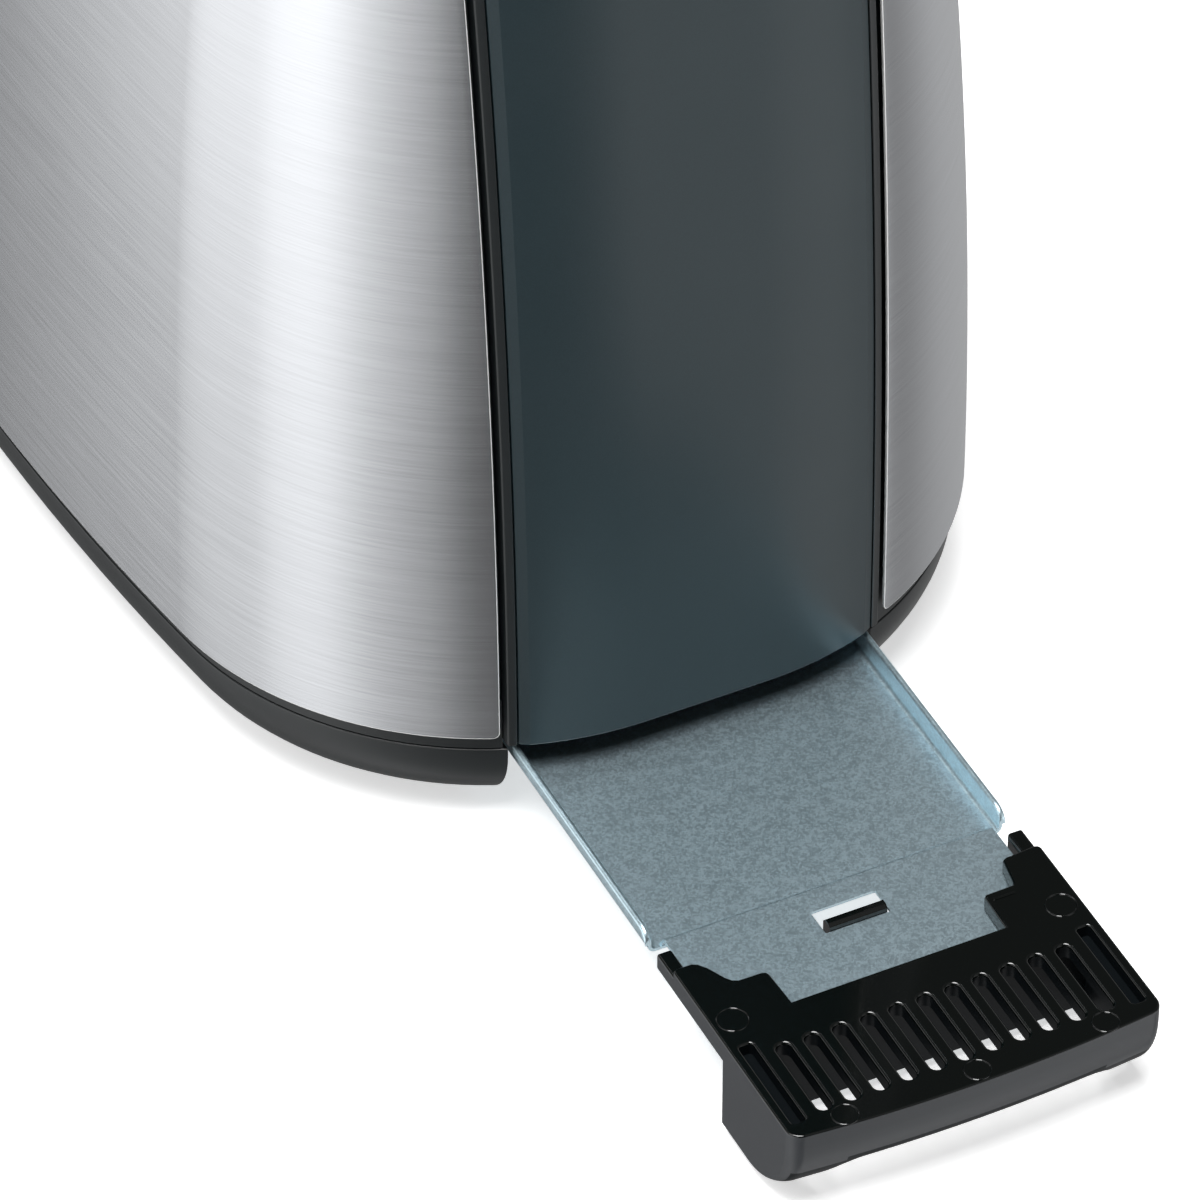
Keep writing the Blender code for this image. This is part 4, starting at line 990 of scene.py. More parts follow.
@dataclass
class EndPanels:
    """The plain panel above the tray and the panel that holds the controls."""

    form: CasingForm
    half_width: float = 0.0353
    thickness: float = 0.0025
    z_low: float = 0.0226
    z_high: float = 0.1885
    margin: float = 0.0017
    chamfer: float = 0.00042

    def build(self, bench: Workbench) -> None:
        """Shapes both, and cuts the second for its lever, knob and buttons."""
        bench.piece("panel_tray_end", self.panel(-1), (Look.PANEL,), "casing", ["end_panel"], 8.0)
        cutters = [block((-0.0026, 0.1, 0.0830), (0.0026, 0.2, 0.1830)), shaft_hole(bench)]
        round_edges(cutters[0], upright(cutters[0], 1), 0.0024, 6)
        for name in BUTTONS:
            hole = button_hole(bench, name)
            round_edges(hole, upright(hole, 1), 0.0018, 6)
            cutters.append(hole)
        control = boolean(self.panel(1), "DIFFERENCE", [joined(*cutters)])
        bench.piece("panel_control_end", control, (Look.PANEL,), "casing", ["control_panel"], 12.0)
        self.scale_marks(bench)

    def panel(self, end: int) -> BMesh:
        """One panel with its edges chamfered."""
        outer, inner = self.half_width, self.half_width - self.margin
        half = [outer] + spread(inner, 0.0, 16)
        stations = [-x for x in half] + half[-2::-1]
        heights = [self.z_low, self.z_low + 0.0008] + spread(
            self.z_low + 0.0016, self.z_high - 0.0016, 44
        ) + [self.z_high]
        bm = self.form.wall(end, stations, heights, 0.0, self.thickness, self.sink)
        round_edges(bm, [e for e in sharp_edges(bm, 60) if self.outside(e, end)], 0.00022, 2)
        return bm

    def sink(self, x: float, z: float) -> float:
        """How far the chamfer brings the face in."""
        side = max(0.0, abs(x) - self.half_width + self.margin) / self.margin
        return self.chamfer * side

    def outside(self, edge: BMEdge, end: int) -> bool:
        """Whether an edge lies on the outer face."""
        place = (edge.verts[0].co + edge.verts[1].co) / 2
        depth = self.form.end_y(place.x, self.form.lean(place.z)) - end * place.y
        return depth < self.thickness / 2

    def scale_marks(self, bench: Workbench) -> None:
        """A fan of ticks round the knob, each longer than the last."""
        centre = bench.centre("browning_knob")
        parts = []
        for index in range(7):
            angle = math.radians(225 - 45 * index)
            start, end = 0.0186, 0.0194 + 0.00025 * index
            tick = block((-0.00032, -0.0001, start), (0.00032, 0.0001, end), 0.00008, 1)
            turn_about_y(tick, math.pi / 2 - angle)
            bmesh.ops.translate(tick, vec=(centre.x, 0, centre.z), verts=tick.verts[:])
            for vert in tick.verts:
                vert.co.y += self.form.end_y(vert.co.x, self.form.lean(vert.co.z))
            parts.append(tick)
        bench.piece("browning_scale", joined(*parts), (Look.PRINT,), "casing")


def upright(bm: BMesh, axis: int) -> list[BMEdge]:
    """The edges that run along an axis."""
    def runs(edge: BMEdge) -> bool:
        """Whether one edge does."""
        span = edge.verts[0].co - edge.verts[1].co
        return abs(span[axis]) > 0.999 * span.length
    return [e for e in bm.edges if runs(e)]


@dataclass
class HousingFrame:
    """The moulded frame behind the panels: a rim above the base and an upright at each end."""

    form: CasingForm
    z_low: float = 0.0206
    z_high: float = 0.1896
    rim_top: float = 0.0320
    rim_edge_x: float = 0.0374
    inset: float = 0.0018
    thickness: float = 0.0022
    frame_half_width: float = 0.0460
    rib_x: tuple[float, float] = (0.0356, 0.0373)

    def build(self, bench: Workbench) -> None:
        """Joins the rim, the two uprights, the sill and the ribs."""
        form, panel_low = self.form, 0.0226
        parts = [
            form.wrap(side, self.rim_edge_x, self.z_low, self.rim_top, self.inset, self.thickness, 4)
            for side in (-1, 1)
        ]
        for part in parts:
            round_edges(part, sharp_edges(part, 60), 0.0003, 2)
        stations = spread(-self.frame_half_width, self.frame_half_width, 36)
        heights = spread(panel_low - 0.0003, self.z_high, 34)
        parts.append(form.wall(-1, stations, heights, 0.0029, self.thickness))
        rear = form.wall(1, stations, heights, 0.0029, self.thickness)
        cutters = [block((-0.0030, 0.1, 0.0800), (0.0030, 0.2, 0.1860)), shaft_hole(bench)]
        cutters += [button_hole(bench, name) for name in BUTTONS]
        parts.append(boolean(rear, "DIFFERENCE", [joined(*cutters)]))
        sill = spread(-self.rim_edge_x - 0.002, self.rim_edge_x + 0.002, 28)
        parts.append(
            form.wall(1, sill, [self.z_low + 0.0001, panel_low - 0.0002], self.inset, self.thickness)
        )
        for end in (-1, 1):
            for side in (-1, 1):
                low, high = sorted(side * x for x in self.rib_x)
                rib = form.wall(
                    end, [low, (low + high) / 2, high], spread(panel_low - 0.0002, 0.1885, 40), 0.0002, 0.0035
                )
                round_edges(rib, sharp_edges(rib, 60), 0.00035, 3)
                parts.append(rib)
        bench.piece("housing_frame", joined(*parts), (Look.MOULDING,), "casing", ["housing"], 40.0)


@dataclass
class BaseDish:
    """The moulded dish under everything, with the bay that the tray's handle fills."""

    form: CasingForm
    bottom: float = 0.0025
    top: float = 0.0203
    inset: float = 0.0018
    rounding: float = 0.016
    wall: float = 0.0022
    bay_half_width: float = 0.0366
    bay_back: float = -0.1385
    mouth_floor: float = 0.0140

    def build(self, bench: Workbench) -> None:
        """Hollows the dish, opens its bay and mouth, and adds bosses, recesses and vents."""
        lip = [(self.inset + 0.0004 * (1 - math.sin(a)), self.top - 0.0004 * (1 - math.cos(a)))
               for a in (0.0, 0.5, 1.0, math.pi / 2)]
        dish = self.form.ring(lip + self.turn(self.inset, self.rounding, self.bottom))
        inner = self.inset + self.wall
        profile = self.turn(inner, self.rounding - self.wall, self.bottom + self.wall)
        hollow = self.form.ring([(inner, self.top + 0.01)] + profile)
        half, wall = self.bay_half_width, self.wall
        hollow = boolean(
            hollow, "DIFFERENCE", [block((-half - wall, -0.2, 0), (half + wall, self.bay_back + wall, 0.05))]
        )
        bay = block((-half, -0.2, -0.01), (half, self.bay_back, 0.05))
        round_edges(bay, upright(bay, 2), 0.002, 5)
        mouth = block(
            (-half - 0.0012, self.bay_back - 0.01, self.mouth_floor),
            (half + 0.0012, self.bay_back + 0.01, 0.05)
        )
        dish = boolean(boolean(dish, "DIFFERENCE", [hollow, bay]), "DIFFERENCE", [mouth])
        floor = self.bottom + wall - 0.0005
        added, holes = [], []
        for name in SCREWS:
            x, y, _ = bench.centre(name)
            added.append(turned((x, y, 0), [(0, floor), (0.0052, floor), (0.0052, 0.0142), (0, 0.0142)]))
            holes.append(turned(
                (x, y, 0),
                [(0, -0.01), (0.0036, -0.01), (0.0036, 0.008), (0.0018, 0.008), (0.0018, 0.03), (0, 0.03)]
            ))
        for name in FEET:
            x, y, _ = bench.centre(name)
            holes.append(turned((x, y, 0), [(0, -0.01), (0.0032, -0.01), (0.0032, 0.008), (0, 0.008)]))
        rod = bench.centre("guide_rod")
        added.append(turned((0, rod.y, 0), [(0, floor), (0.0060, floor), (0.0060, 0.0236), (0, 0.0236)]))
        holes.append(turned((0, rod.y, 0), [(0, 0.008), (0.0028, 0.008), (0.0028, 0.05), (0, 0.05)]))
        board = bench.low("circuit_board")
        for side in (-1, 1):
            low, high = sorted((side * 0.024, side * 0.029))
            added.append(block((low, board.y - 0.003, floor), (high, board.y + 0.004, 0.0297), 0.0004, 2))
            for row in range(6):
                y = -0.070 + 0.022 * row
                vent = block(
                    (side * 0.024 - 0.014, y - 0.002, -0.01), (side * 0.024 + 0.014, y + 0.002, 0.01)
                )
                round_edges(vent, upright(vent, 2), 0.0019, 5)
                holes.append(vent)
        place, direction = gland_place(self.form, self.inset)
        holes.append(turned(place, [(0, -0.02), (0.0055, -0.02), (0.0055, 0.02), (0, 0.02)], direction))
        dish = boolean(boolean(dish, "UNION", [joined(*added)]), "DIFFERENCE", [joined(*holes)])
        bench.piece("base_dish", dish, (Look.MOULDING,), "casing", ["base"], 30.0)

    def turn(self, inset: float, radius: float, bottom: float) -> list[tuple[float, float]]:
        """The quarter circle from the wall to the floor."""
        angles = [math.radians(6 * i) for i in range(16)]
        return [(inset + radius * (1 - math.cos(a)), bottom + radius * (1 - math.sin(a))) for a in angles]


def gland_place(form: CasingForm, inset: float) -> tuple[Point, Point]:
    """Where the lead's bush sits on the base, and the way that the wall faces there."""
    angle = math.pi - form.angle_at(0.045, inset)
    return (*form.point(angle, inset), 0.0135), (math.cos(angle), math.sin(angle), 0.0)


@dataclass
class TopCover:
    """The moulded top, and the steel plate on it with the two bread slots."""

    form: CasingForm
    bottom: float = 0.1900
    crown: float = 0.2048
    rounding: float = 0.0120
    wall: float = 0.0025
    height: float = 0.2060
    centre_y: float = -0.020
    slot_x: float = 0.030
    slot_half: tuple[float, float] = (0.015, 0.082)
    slot_round: float = 0.006
    lip_bottom: float = 0.1970
    sheet: float = 0.0008

    def build(self, bench: Workbench) -> None:
        """Sweeps the cover, folds the slots' lips and cuts both through."""
        cover = self.form.ring(self.profile(self.wall)[::-1] + self.profile(0.0))
        gaps = [self.slot(side, self.sheet + 0.0006, 0.187, 0.216) for side in (-1, 1)]
        cover = boolean(cover, "DIFFERENCE", [joined(*gaps)])
        bench.piece("moulded_top", cover, (Look.MOULDING,), "casing", ["top_cover"], 30.0)
        plate_bm = plate(
            stadium(0, self.centre_y, 0.0500, 0.0905, 0.012, 12), self.crown + 0.0003, self.height
        )
        rim = [e for e in sharp_edges(plate_bm, 60) if min(v.co.z for v in e.verts) > self.height - 1e-6]
        round_edges(plate_bm, rim, 0.0005, 3)
        lips = joined(
            *[self.slot(side, self.sheet, self.lip_bottom, self.height - 0.0002) for side in (-1, 1)]
        )
        trim = boolean(plate_bm, "UNION", [lips])
        openings = [
            flared_cutter(side * self.slot_x, self.centre_y, *self.slot_half, self.slot_round,
                          self.height, self.lip_bottom - 0.01, 0.0007)
            for side in (-1, 1)
        ]
        trim = boolean(trim, "DIFFERENCE", [joined(*openings)])
        bench.piece(
            "steel_slot_trim", trim, (Look.STEEL,), "casing", ["slot_trim"], 35.0,
            lambda place: (place.y, place.x + place.z),
        )

    def profile(self, wall: float) -> list[tuple[float, float]]:
        """The cover's wall and shoulder, at a depth of wall inside its outer face."""
        start = self.form.lean(self.bottom) + wall
        step, rise, radius = start + 0.0004, self.crown - self.rounding, self.rounding - wall
        angles = [math.radians(7.5 * i) for i in range(1, 13)]
        shoulder = [(step + radius * (1 - math.cos(a)), rise + radius * math.sin(a)) for a in angles]
        return [(start, self.bottom), (step, rise)] + shoulder

    def slot(self, side: int, more: float, z_low: float, z_high: float) -> BMesh:
        """An upright block with a slot's outline, larger all round by the given amount."""
        half_width, half_length = (half + more for half in self.slot_half)
        outline = stadium(side * self.slot_x, self.centre_y, half_width, half_length, self.slot_round + more)
        return plate(outline, z_low, z_high)


# --- Crumb tray ---------------------------------------------------------------------------


def ribbon(path: Profile, thickness: float) -> list[tuple[float, float]]:
    """The closed outline of a sheet bent along a line.

    Args:
        path: the sheet's middle line.
        thickness: the sheet's thickness.

    Returns:
        Points down one face and back up the other.
    """
    sides: tuple[list[tuple[float, float]], list[tuple[float, float]]] = ([], [])
    for index, (first, second) in enumerate(path):
        before, after = path[max(0, index - 1)], path[min(len(path) - 1, index + 1)]
        run = Vector((after[0] - before[0], after[1] - before[1])).normalized() * thickness / 2
        sides[0].append((first - run.y, second + run.x))
        sides[1].append((first + run.y, second - run.x))
    return sides[0] + sides[1][::-1]


@dataclass
class CrumbTray:
    """The folded sheet: a floor, hemmed side walls, a back wall and a raised tongue."""

    handle_y: float
    half_width: float = 0.0360
    floor: float = 0.0162
    top: float = 0.0207
    sheet: float = 0.0006
    length: float = 0.1790
    tongue_half: float = 0.0326
    tongue_top: float = 0.0187
    curl: float = 0.0030

    def build(self, bench: Workbench) -> None:
        """Folds the tray, joins its tongue and cuts the windows."""
        front = self.handle_y + 0.0356
        back = front + self.length
        turn = [math.radians(10 * i) for i in range(1, 10)]
        levels = [(front, 0.24)]
        levels += [(front + self.curl * (1 - math.cos(a)), 0.24 + 0.76 * math.sin(a)) for a in turn]
        levels += [(front + (back - front) * i / 30, 1.0) for i in range(1, 31)]
        parts = [
            loft([[(x, y, z) for x, z in ribbon(self.section(share), self.sheet)] for y, share in levels])
        ]
        parts.append(block(
            (-self.half_width + 0.001, back - 0.0008, self.floor - 0.0003),
            (self.half_width - 0.001, back, self.top - 0.0003), 0.00015, 2
        ))
        tongue = self.tongue(front)
        round_edges(tongue, sharp_edges(tongue, 60), 0.00012, 1)
        window = plate(stadium(0, self.handle_y + 0.02655, 0.0064, 0.00295, 0.0003, 3), 0.0, 0.05)
        parts.append(boolean(tongue, "DIFFERENCE", [window]))
        bench.piece("folded_tray", joined(*parts), (Look.ZINC,), "crumb_tray", ["tray_sheet"], 40.0)

    def section(self, share: float) -> list[tuple[float, float]]:
        """The tray's middle line across it.

        Args:
            share: the walls' height as a share of their full height.

        Returns:
            (x, z) points from hem to hem.
        """
        middle, bend, hem = self.sheet / 2, 0.0012, 0.0003
        wall_x = self.half_width - 3 * middle - 2 * (hem - middle / 2)
        low = self.floor - middle
        high = low + bend + (self.top - middle - hem - low - bend) * share
        fold = [(wall_x - bend + bend * math.sin(a), low + bend * (1 - math.cos(a)))
                for a in (math.radians(15 * i) for i in range(7))]
        over = [(wall_x + hem - hem * math.cos(a), high + hem * math.sin(a))
                for a in (math.radians(30 * i) for i in range(7))]
        right = fold + over + [(wall_x + 2 * hem, high - 0.0011 * share)]
        return [(-x, z) for x, z in reversed(right)] + right

    def tongue(self, front: float) -> BMesh:
        """The strip that steps up from the floor and runs under the handle."""
        middle = self.sheet / 2
        low, high = self.floor - middle - 0.00004, self.tongue_top - middle
        step = [(
            front + 0.0010 - 0.0022 * t, low + (high - low) * (3 * t * t - 2 * t**3)
        ) for t in spread(0, 1, 12)]
        path = [(front + 0.004, low), (front + 0.002, low)] + step + [(self.handle_y + 0.0062, high)]
        outline = ribbon(path, self.sheet)
        return loft([[(x, y, z) for y, z in outline] for x in spread(-self.tongue_half, self.tongue_half, 4)])


@dataclass
class TrayGrip:
    """The moulded handle: a flat top with slots and a rounded front with a scoop under it."""

    handle_y: float
    top: float = 0.0220
    bottom: float = 0.0025
    half_width: float = 0.0362
    front: float = -0.0234
    back: float = 0.0045
    rounding: float = 0.0160
    sag: float = 0.0020
    corner: float = 0.0026
    wall: float = 0.0022
    plate: float = 0.0030
    slots: int = 11
    pitch: float = 0.00547
    slot_half: tuple[float, float] = (0.0014, 0.00865)
    scoop_top: float = 0.0112

    def build(self, bench: Workbench) -> None:
        """Shapes the flat top and the front under it, and cuts the grip."""
        top = plate(self.outline(), self.top - self.plate, self.top)
        rim = [e for e in sharp_edges(top, 25) if min(v.co.z for v in e.verts) > self.top - 1e-6]
        round_edges(top, rim, 0.00045, 4)
        for cutters in (self.slot_cutters(), self.pocket_cutters()):
            top = boolean(top, "DIFFERENCE", [joined(*cutters)])
        front = self.fascia(0.0, self.half_width, self.top - self.plate)
        inner = self.fascia(self.wall, self.half_width - self.wall, self.top)
        scoop = block((-0.029, self.handle_y - 0.05, -0.01), (0.029, self.handle_y - 0.004, self.scoop_top))
        round_edges(scoop, [e for e in upright(scoop, 1) if e.verts[0].co.z > 0], 0.0075, 10)
        front = boolean(boolean(front, "DIFFERENCE", [inner]), "DIFFERENCE", [scoop])
        grip = joined(top, front, *self.fixings(), *self.pin_marks())
        # outer sides: lighter copy of the plastic, a painted reflection of the floor
        paint(grip, 1, self.on_the_outside)
        # slot, pocket and hollow walls: dull copy of the plastic, painted shade
        paint(grip, 2, self.in_a_slot)
        looks = (Look.GLOSS, Look.GRIP_SIDE, Look.SHADE)
        bench.piece("moulded_handle", grip, looks, "crumb_tray", ["tray_handle"], 40.0)

    def on_the_outside(self, face: BMFace) -> bool:
        """Whether a face is one of the satin outer sides under the polished top, which get a lighter colour
        as a painted reflection of the floor.
        """
        place = face.calc_center_median()
        edge = self.handle_y + self.depth(place.x, self.front, self.half_width) + 0.0120
        outer = abs(place.x) > self.half_width - 0.0009 or place.y < edge
        level = face.normal.z < 0.3 and place.z < self.top - 0.0001
        within = abs(place.x) < self.half_width - 0.0009 and place.y > edge - 0.0110
        inside = within and place.z > self.top - self.plate
        return outer and level and not inside

    def in_a_slot(self, face: BMFace) -> bool:
        """Whether a face is a wall of a slot, a pocket or the hollow under them, which gets the dull finish
        that paints the shade inside them.
        """
        place = face.calc_center_median()
        edge = self.handle_y + self.depth(place.x, self.front, self.half_width) + 0.0012
        within = abs(place.x) < self.half_width - 0.0011 and edge < place.y < self.handle_y + 0.0040
        return within and place.z < self.top - 0.0007

    def outline(self) -> list[tuple[float, float]]:
        """The flat top seen from above: shallow arc in front, a lobe at each side behind."""
        half, y = self.half_width, self.handle_y
        right = [(half, 0.0234), (
            half - 0.0003, 0.0240
        ), (half - 0.0010, 0.0243), (0.0292, 0.0239), (0.0285, 0.0234),
                 (0.0275, 0.0178), (0.0270, 0.0172), (0.0217, 0.0171), (0.0212, 0.0166), (0.0209, 0.0084)]
        left = [(half, 0.0234), (
            half - 0.0003, 0.0241
        ), (half - 0.0010, 0.0244), (0.0324, 0.0243), (0.0314, 0.0238),
                (0.0302, 0.0222), (0.0286, 0.0188), (0.0278, 0.0177), (0.0268, 0.0172), (0.0224, 0.0171),
                (0.0216, 0.0168), (0.0213, 0.0160), (0.0209, 0.0084)]
        front = [(x, self.depth(x, self.front, half)) for x in self.stations(half)]
        behind = right + [(-x, v) for x, v in reversed(left)]
        return [(x, y + v) for x, v in front + behind]

    def stations(self, half_width: float) -> list[float]:
        """The x of each section of the front, close together on the round corners."""
        corner = [half_width - self.corner * (1 - math.sin(math.radians(a))) for a in range(90, -1, -10)]
        middle = [(half_width - self.corner) * share for share in spread(0.875, 0.125, 6)]
        return [-x for x in corner + middle] + [0.0] + (corner + middle)[::-1]

    def depth(self, x: float, y: float, half_width: float) -> float:
        """Draws a point back so that the front follows its shallow arc and round corners."""
        past = min(self.corner, max(0.0, abs(x) - half_width + self.corner))
        sag = self.sag * (x / self.half_width) ** 2 + self.corner - math.sqrt(self.corner**2 - past**2)
        return y + sag * max(0.0, (self.back - y) / (self.back - self.front))

    def fascia(self, inset: float, half_width: float, top: float) -> BMesh:
        """The rounded front from its flat top down and under, drawn in by the inset."""
        radius, centre = self.rounding - inset, (self.front + self.rounding, self.bottom + self.rounding)
        back = self.back - inset
        front = arc(centre, radius, 180, 240 if inset else 270, 18)
        outline = [(back, top), (front[0][0], top)] + front
        outline += [(front[-1][0], -0.005), (back, -0.005)] if inset else [(back, self.bottom)]
        return loft([
            [(x, self.handle_y + self.depth(x, y, half_width), z) for y, z in outline]
            for x in self.stations(half_width)
        ])

    def fixings(self) -> list[BMesh]:
        """The arms beside the sheet, the strip under it that hooks into its window, and a witness ridge."""
        y, low = self.handle_y, self.top - self.plate
        parts = []
        for side in (-1, 1):
            x_low, x_high = sorted((side * 0.0332, side * 0.0361))
            parts.append(block((x_low, y + 0.0030, 0.0170), (x_high, y + 0.0305, 0.0205), 0.0005, 3))
        strip = [(y + 0.0072, low - 0.0026), (y + 0.0262, low - 0.0026), (y + 0.0262, low + 0.0003),
                 (y + 0.0254, low + 0.0012), (y + 0.0243, low + 0.0012), (y + 0.0237, low + 0.0006),
                 (y + 0.0237, low - 0.0012), (y + 0.0072, low - 0.0012)]
        parts.append(loft([[(x, v, z) for v, z in strip] for x in (-0.0056, 0.0058)]))
        parts.append(
            block((0.0222, y + 0.0150, self.top - 0.0002), (0.0264, y + 0.0154, self.top + 0.0002), 0.0001, 2)
        )
        return parts

    def slot_cutters(self) -> list[BMesh]:
        """The row of slots through the flat top."""
        half_width, half_length = self.slot_half
        middle = (self.slots - 1) / 2
        return [
            flared_cutter((index - middle) * self.pitch, self.handle_y - half_length, half_width, half_length,
                          0.0013, self.top, self.top - 0.008, 0.0006)
            for index in range(self.slots)
        ]

    def pocket_cutters(self) -> list[BMesh]:
        """The blind groove at each end of the row."""
        return [
            flared_cutter(side * 0.0330, self.handle_y - 0.0078, 0.0013, 0.0103, 0.0007,
                          self.top, self.top - 0.0026, 0.0005)
            for side in (-1, 1)
        ]

    def pin_marks(self) -> list[BMesh]:
        """The fine raised rings that the ejector pins leave."""
        marks = []
        for x, y in (
            (0.0322, 0.0088), (-0.0322, 0.0088), (0.0253, -0.0200), (-0.0253, -0.0200), (0.0, -0.0205)
        ):
            ring = arc((x, self.handle_y + y), 0.0024 if y < 0 else 0.0028, 0, 352.5, 47)
            marks.append(wire([(px, py, self.top) for px, py in ring], 0.00013, closed=True, sides=2))
        return marks


# --- Controls -----------------------------------------------------------------------------


@dataclass
class Controls:
    """The browning knob, the three buttons and the lever's knob."""

    knob_radius: float = 0.0160

    def build(self, bench: Workbench) -> None:
        """Makes all of them with their marks."""
        self.knob(bench)
        for name, body in zip(BUTTONS, ("reheat", "defrost", "stop")):
            self.button(bench, name, body)
        self.lever_knob(bench)

    def knob(self, bench: Workbench) -> None:
        """A fluted knob with a dished face and a pointer."""
        low, high, centre = bench.low(
            "browning_knob"
        ), bench.high("browning_knob"), bench.centre("browning_knob")
        face, skirt, radius = high.y, low.y, self.knob_radius
        roll = [(radius - 0.0026 + 0.0018 * math.cos(a), face - 0.0018 + 0.0018 * math.sin(a))
                for a in (math.radians(15 * i) for i in range(7))]
        profile = [
            (0.0034, skirt), (radius, skirt), (radius, skirt + 0.0012), (radius - 0.0006, skirt + 0.0016)
        ]
        profile += roll + [
            (radius - 0.0040, face - 0.0003), (radius - 0.0060, face - 0.0006), (0, face - 0.0007)
        ]
        bm = turned(
            (0, 0, centre.z), profile + [(0, BORE_END), (0.0034, BORE_END), (0.0034, skirt)], (0, 1, 0), 144
        )
        for vert in bm.verts:
            out = Vector((vert.co.x, 0, vert.co.z - centre.z))
            if skirt + 0.0014 < vert.co.y < face - 0.0012 and out.length > radius - 0.0012:
                ripple = 0.00032 * (1 - math.cos(36 * math.atan2(out.z, out.x))) / 2
                vert.co -= out.normalized() * ripple
        bench.piece("fluted_knob", bm, (Look.GLOSS,), "browning_dial", ["browning_knob"], 30.0)
        pointer = block(
            (-0.0006, face - 0.0010, centre.z + 0.0052), (0.0006, face - 0.00035, centre.z + 0.0112), 0.0002,
            2
        )
        bench.piece("knob_pointer", pointer, (Look.PRINT,), "browning_dial")

    def button(self, bench: Workbench, name: str, body: str) -> None:
        """One key with softened edges and its symbol."""
        low, high, centre = bench.low(name), bench.high(name), bench.centre(name)
        key = block((low.x, high.y - 0.0100, low.z), high)
        round_edges(key, upright(key, 1), 0.0015, 5)
        round_edges(
            key, [e for e in sharp_edges(key, 60) if min(v.co.y for v in e.verts) > high.y - 1e-6], 0.0005, 3
        )
        stem = block(
            (centre.x - 0.0015, low.y, centre.z - 0.0015),
            (centre.x + 0.0015, high.y - 0.0090, centre.z + 0.0015), 0.0003, 1
        )
        bench.piece(f"{name}_key", joined(key, stem), (Look.GLOSS,), body, [name], 30.0)
        bench.piece(
            f"{name}_symbol", self.symbol(body, Vector((centre.x, high.y, centre.z))), (Look.PRINT,), body
        )

    def symbol(self, body: str, at: Vector) -> BMesh:
        """A button's pictogram: an arrow round, a snow crystal or a bar across a ring."""
        proud, deep = at.y - 0.00001, at.y - 0.0001
        parts = []
        if body == "defrost":
            for index in range(3):
                arm = block((-0.0023, deep, -0.00016), (0.0023, proud, 0.00016))
                for place in (-0.0015, 0.0015):
                    tick = block((-0.0006, deep, -0.00014), (0.0006, proud, 0.00014))
                    turn_about_y(tick, math.pi / 2)
                    bmesh.ops.translate(tick, vec=(place, 0, 0), verts=tick.verts[:])
                    arm = joined(arm, tick)
                turn_about_y(arm, math.pi / 3 * index)
                parts.append(arm)
        else:
            steps = range(19) if body == "reheat" else range(25)
            ring = [((0.0021, 15 * i), (0.00175, 15 * i)) for i in steps]
            outer = [(r * math.cos(math.radians(a)), r * math.sin(math.radians(a))) for (r, a), _ in ring]
            inner = [(r * math.cos(math.radians(a)), r * math.sin(math.radians(a))) for _, (r, a) in ring]
            if body == "reheat":
                parts.append(loft([[(x, y, z) for x, z in outer + inner[::-1]] for y in (deep, proud)]))
                head = [(0.0010, -0.0014), (-0.0006, -0.0021), (0.0006, -0.0028)]
                parts.append(loft([[(x, y, z) for x, z in head] for y in (deep, proud)]))
            else:
                sections = [
                    [(outer[i][0], y, outer[i][1]) for y in (deep, proud)]
                    + [(inner[i][0], y, inner[i][1]) for y in (proud, deep)]
                    for i in range(24)
                ]
                parts.append(loft(sections, closed=True))
                parts.append(block((-0.0012, deep, -0.00018), (0.0012, proud, 0.00018)))
        whole = joined(*parts)
        bmesh.ops.translate(whole, vec=(at.x, 0, at.z), verts=whole.verts[:])
        return whole

    def lever_knob(self, bench: Workbench) -> None:
        """The lever's pad, with a socket for the arm and three grip lines."""
        low, high, arm = bench.low("lever_knob"), bench.high("lever_knob"), bench.high("lever_arm")
        pad = block(low, high)
        round_edges(pad, upright(pad, 1), 0.0040, 8)
        face = [e for e in sharp_edges(pad, 60) if min(v.co.y for v in e.verts) > high.y - 1e-6]
        round_edges(pad, face, 0.0014, 4)
        centre = (low.z + high.z) / 2
        cutters = [block((-0.0014, 0.16, centre - 0.0048), (0.0014, arm.y + 0.0003, centre + 0.0048))]
        for x in (-0.0045, 0.0, 0.0045):
            groove = block(
                (x - 0.0005, high.y - 0.0006, centre - 0.0036), (x + 0.0005, high.y + 0.01, centre + 0.0036)
            )
            round_edges(groove, upright(groove, 1), 0.00045, 4)
            cutters.append(groove)
        pad = boolean(pad, "DIFFERENCE", [joined(*cutters)])
        bench.piece("lever_pad", pad, (Look.GLOSS,), "lift", ["lever_knob"], 30.0)


# --- Inside -------------------------------------------------------------------------------


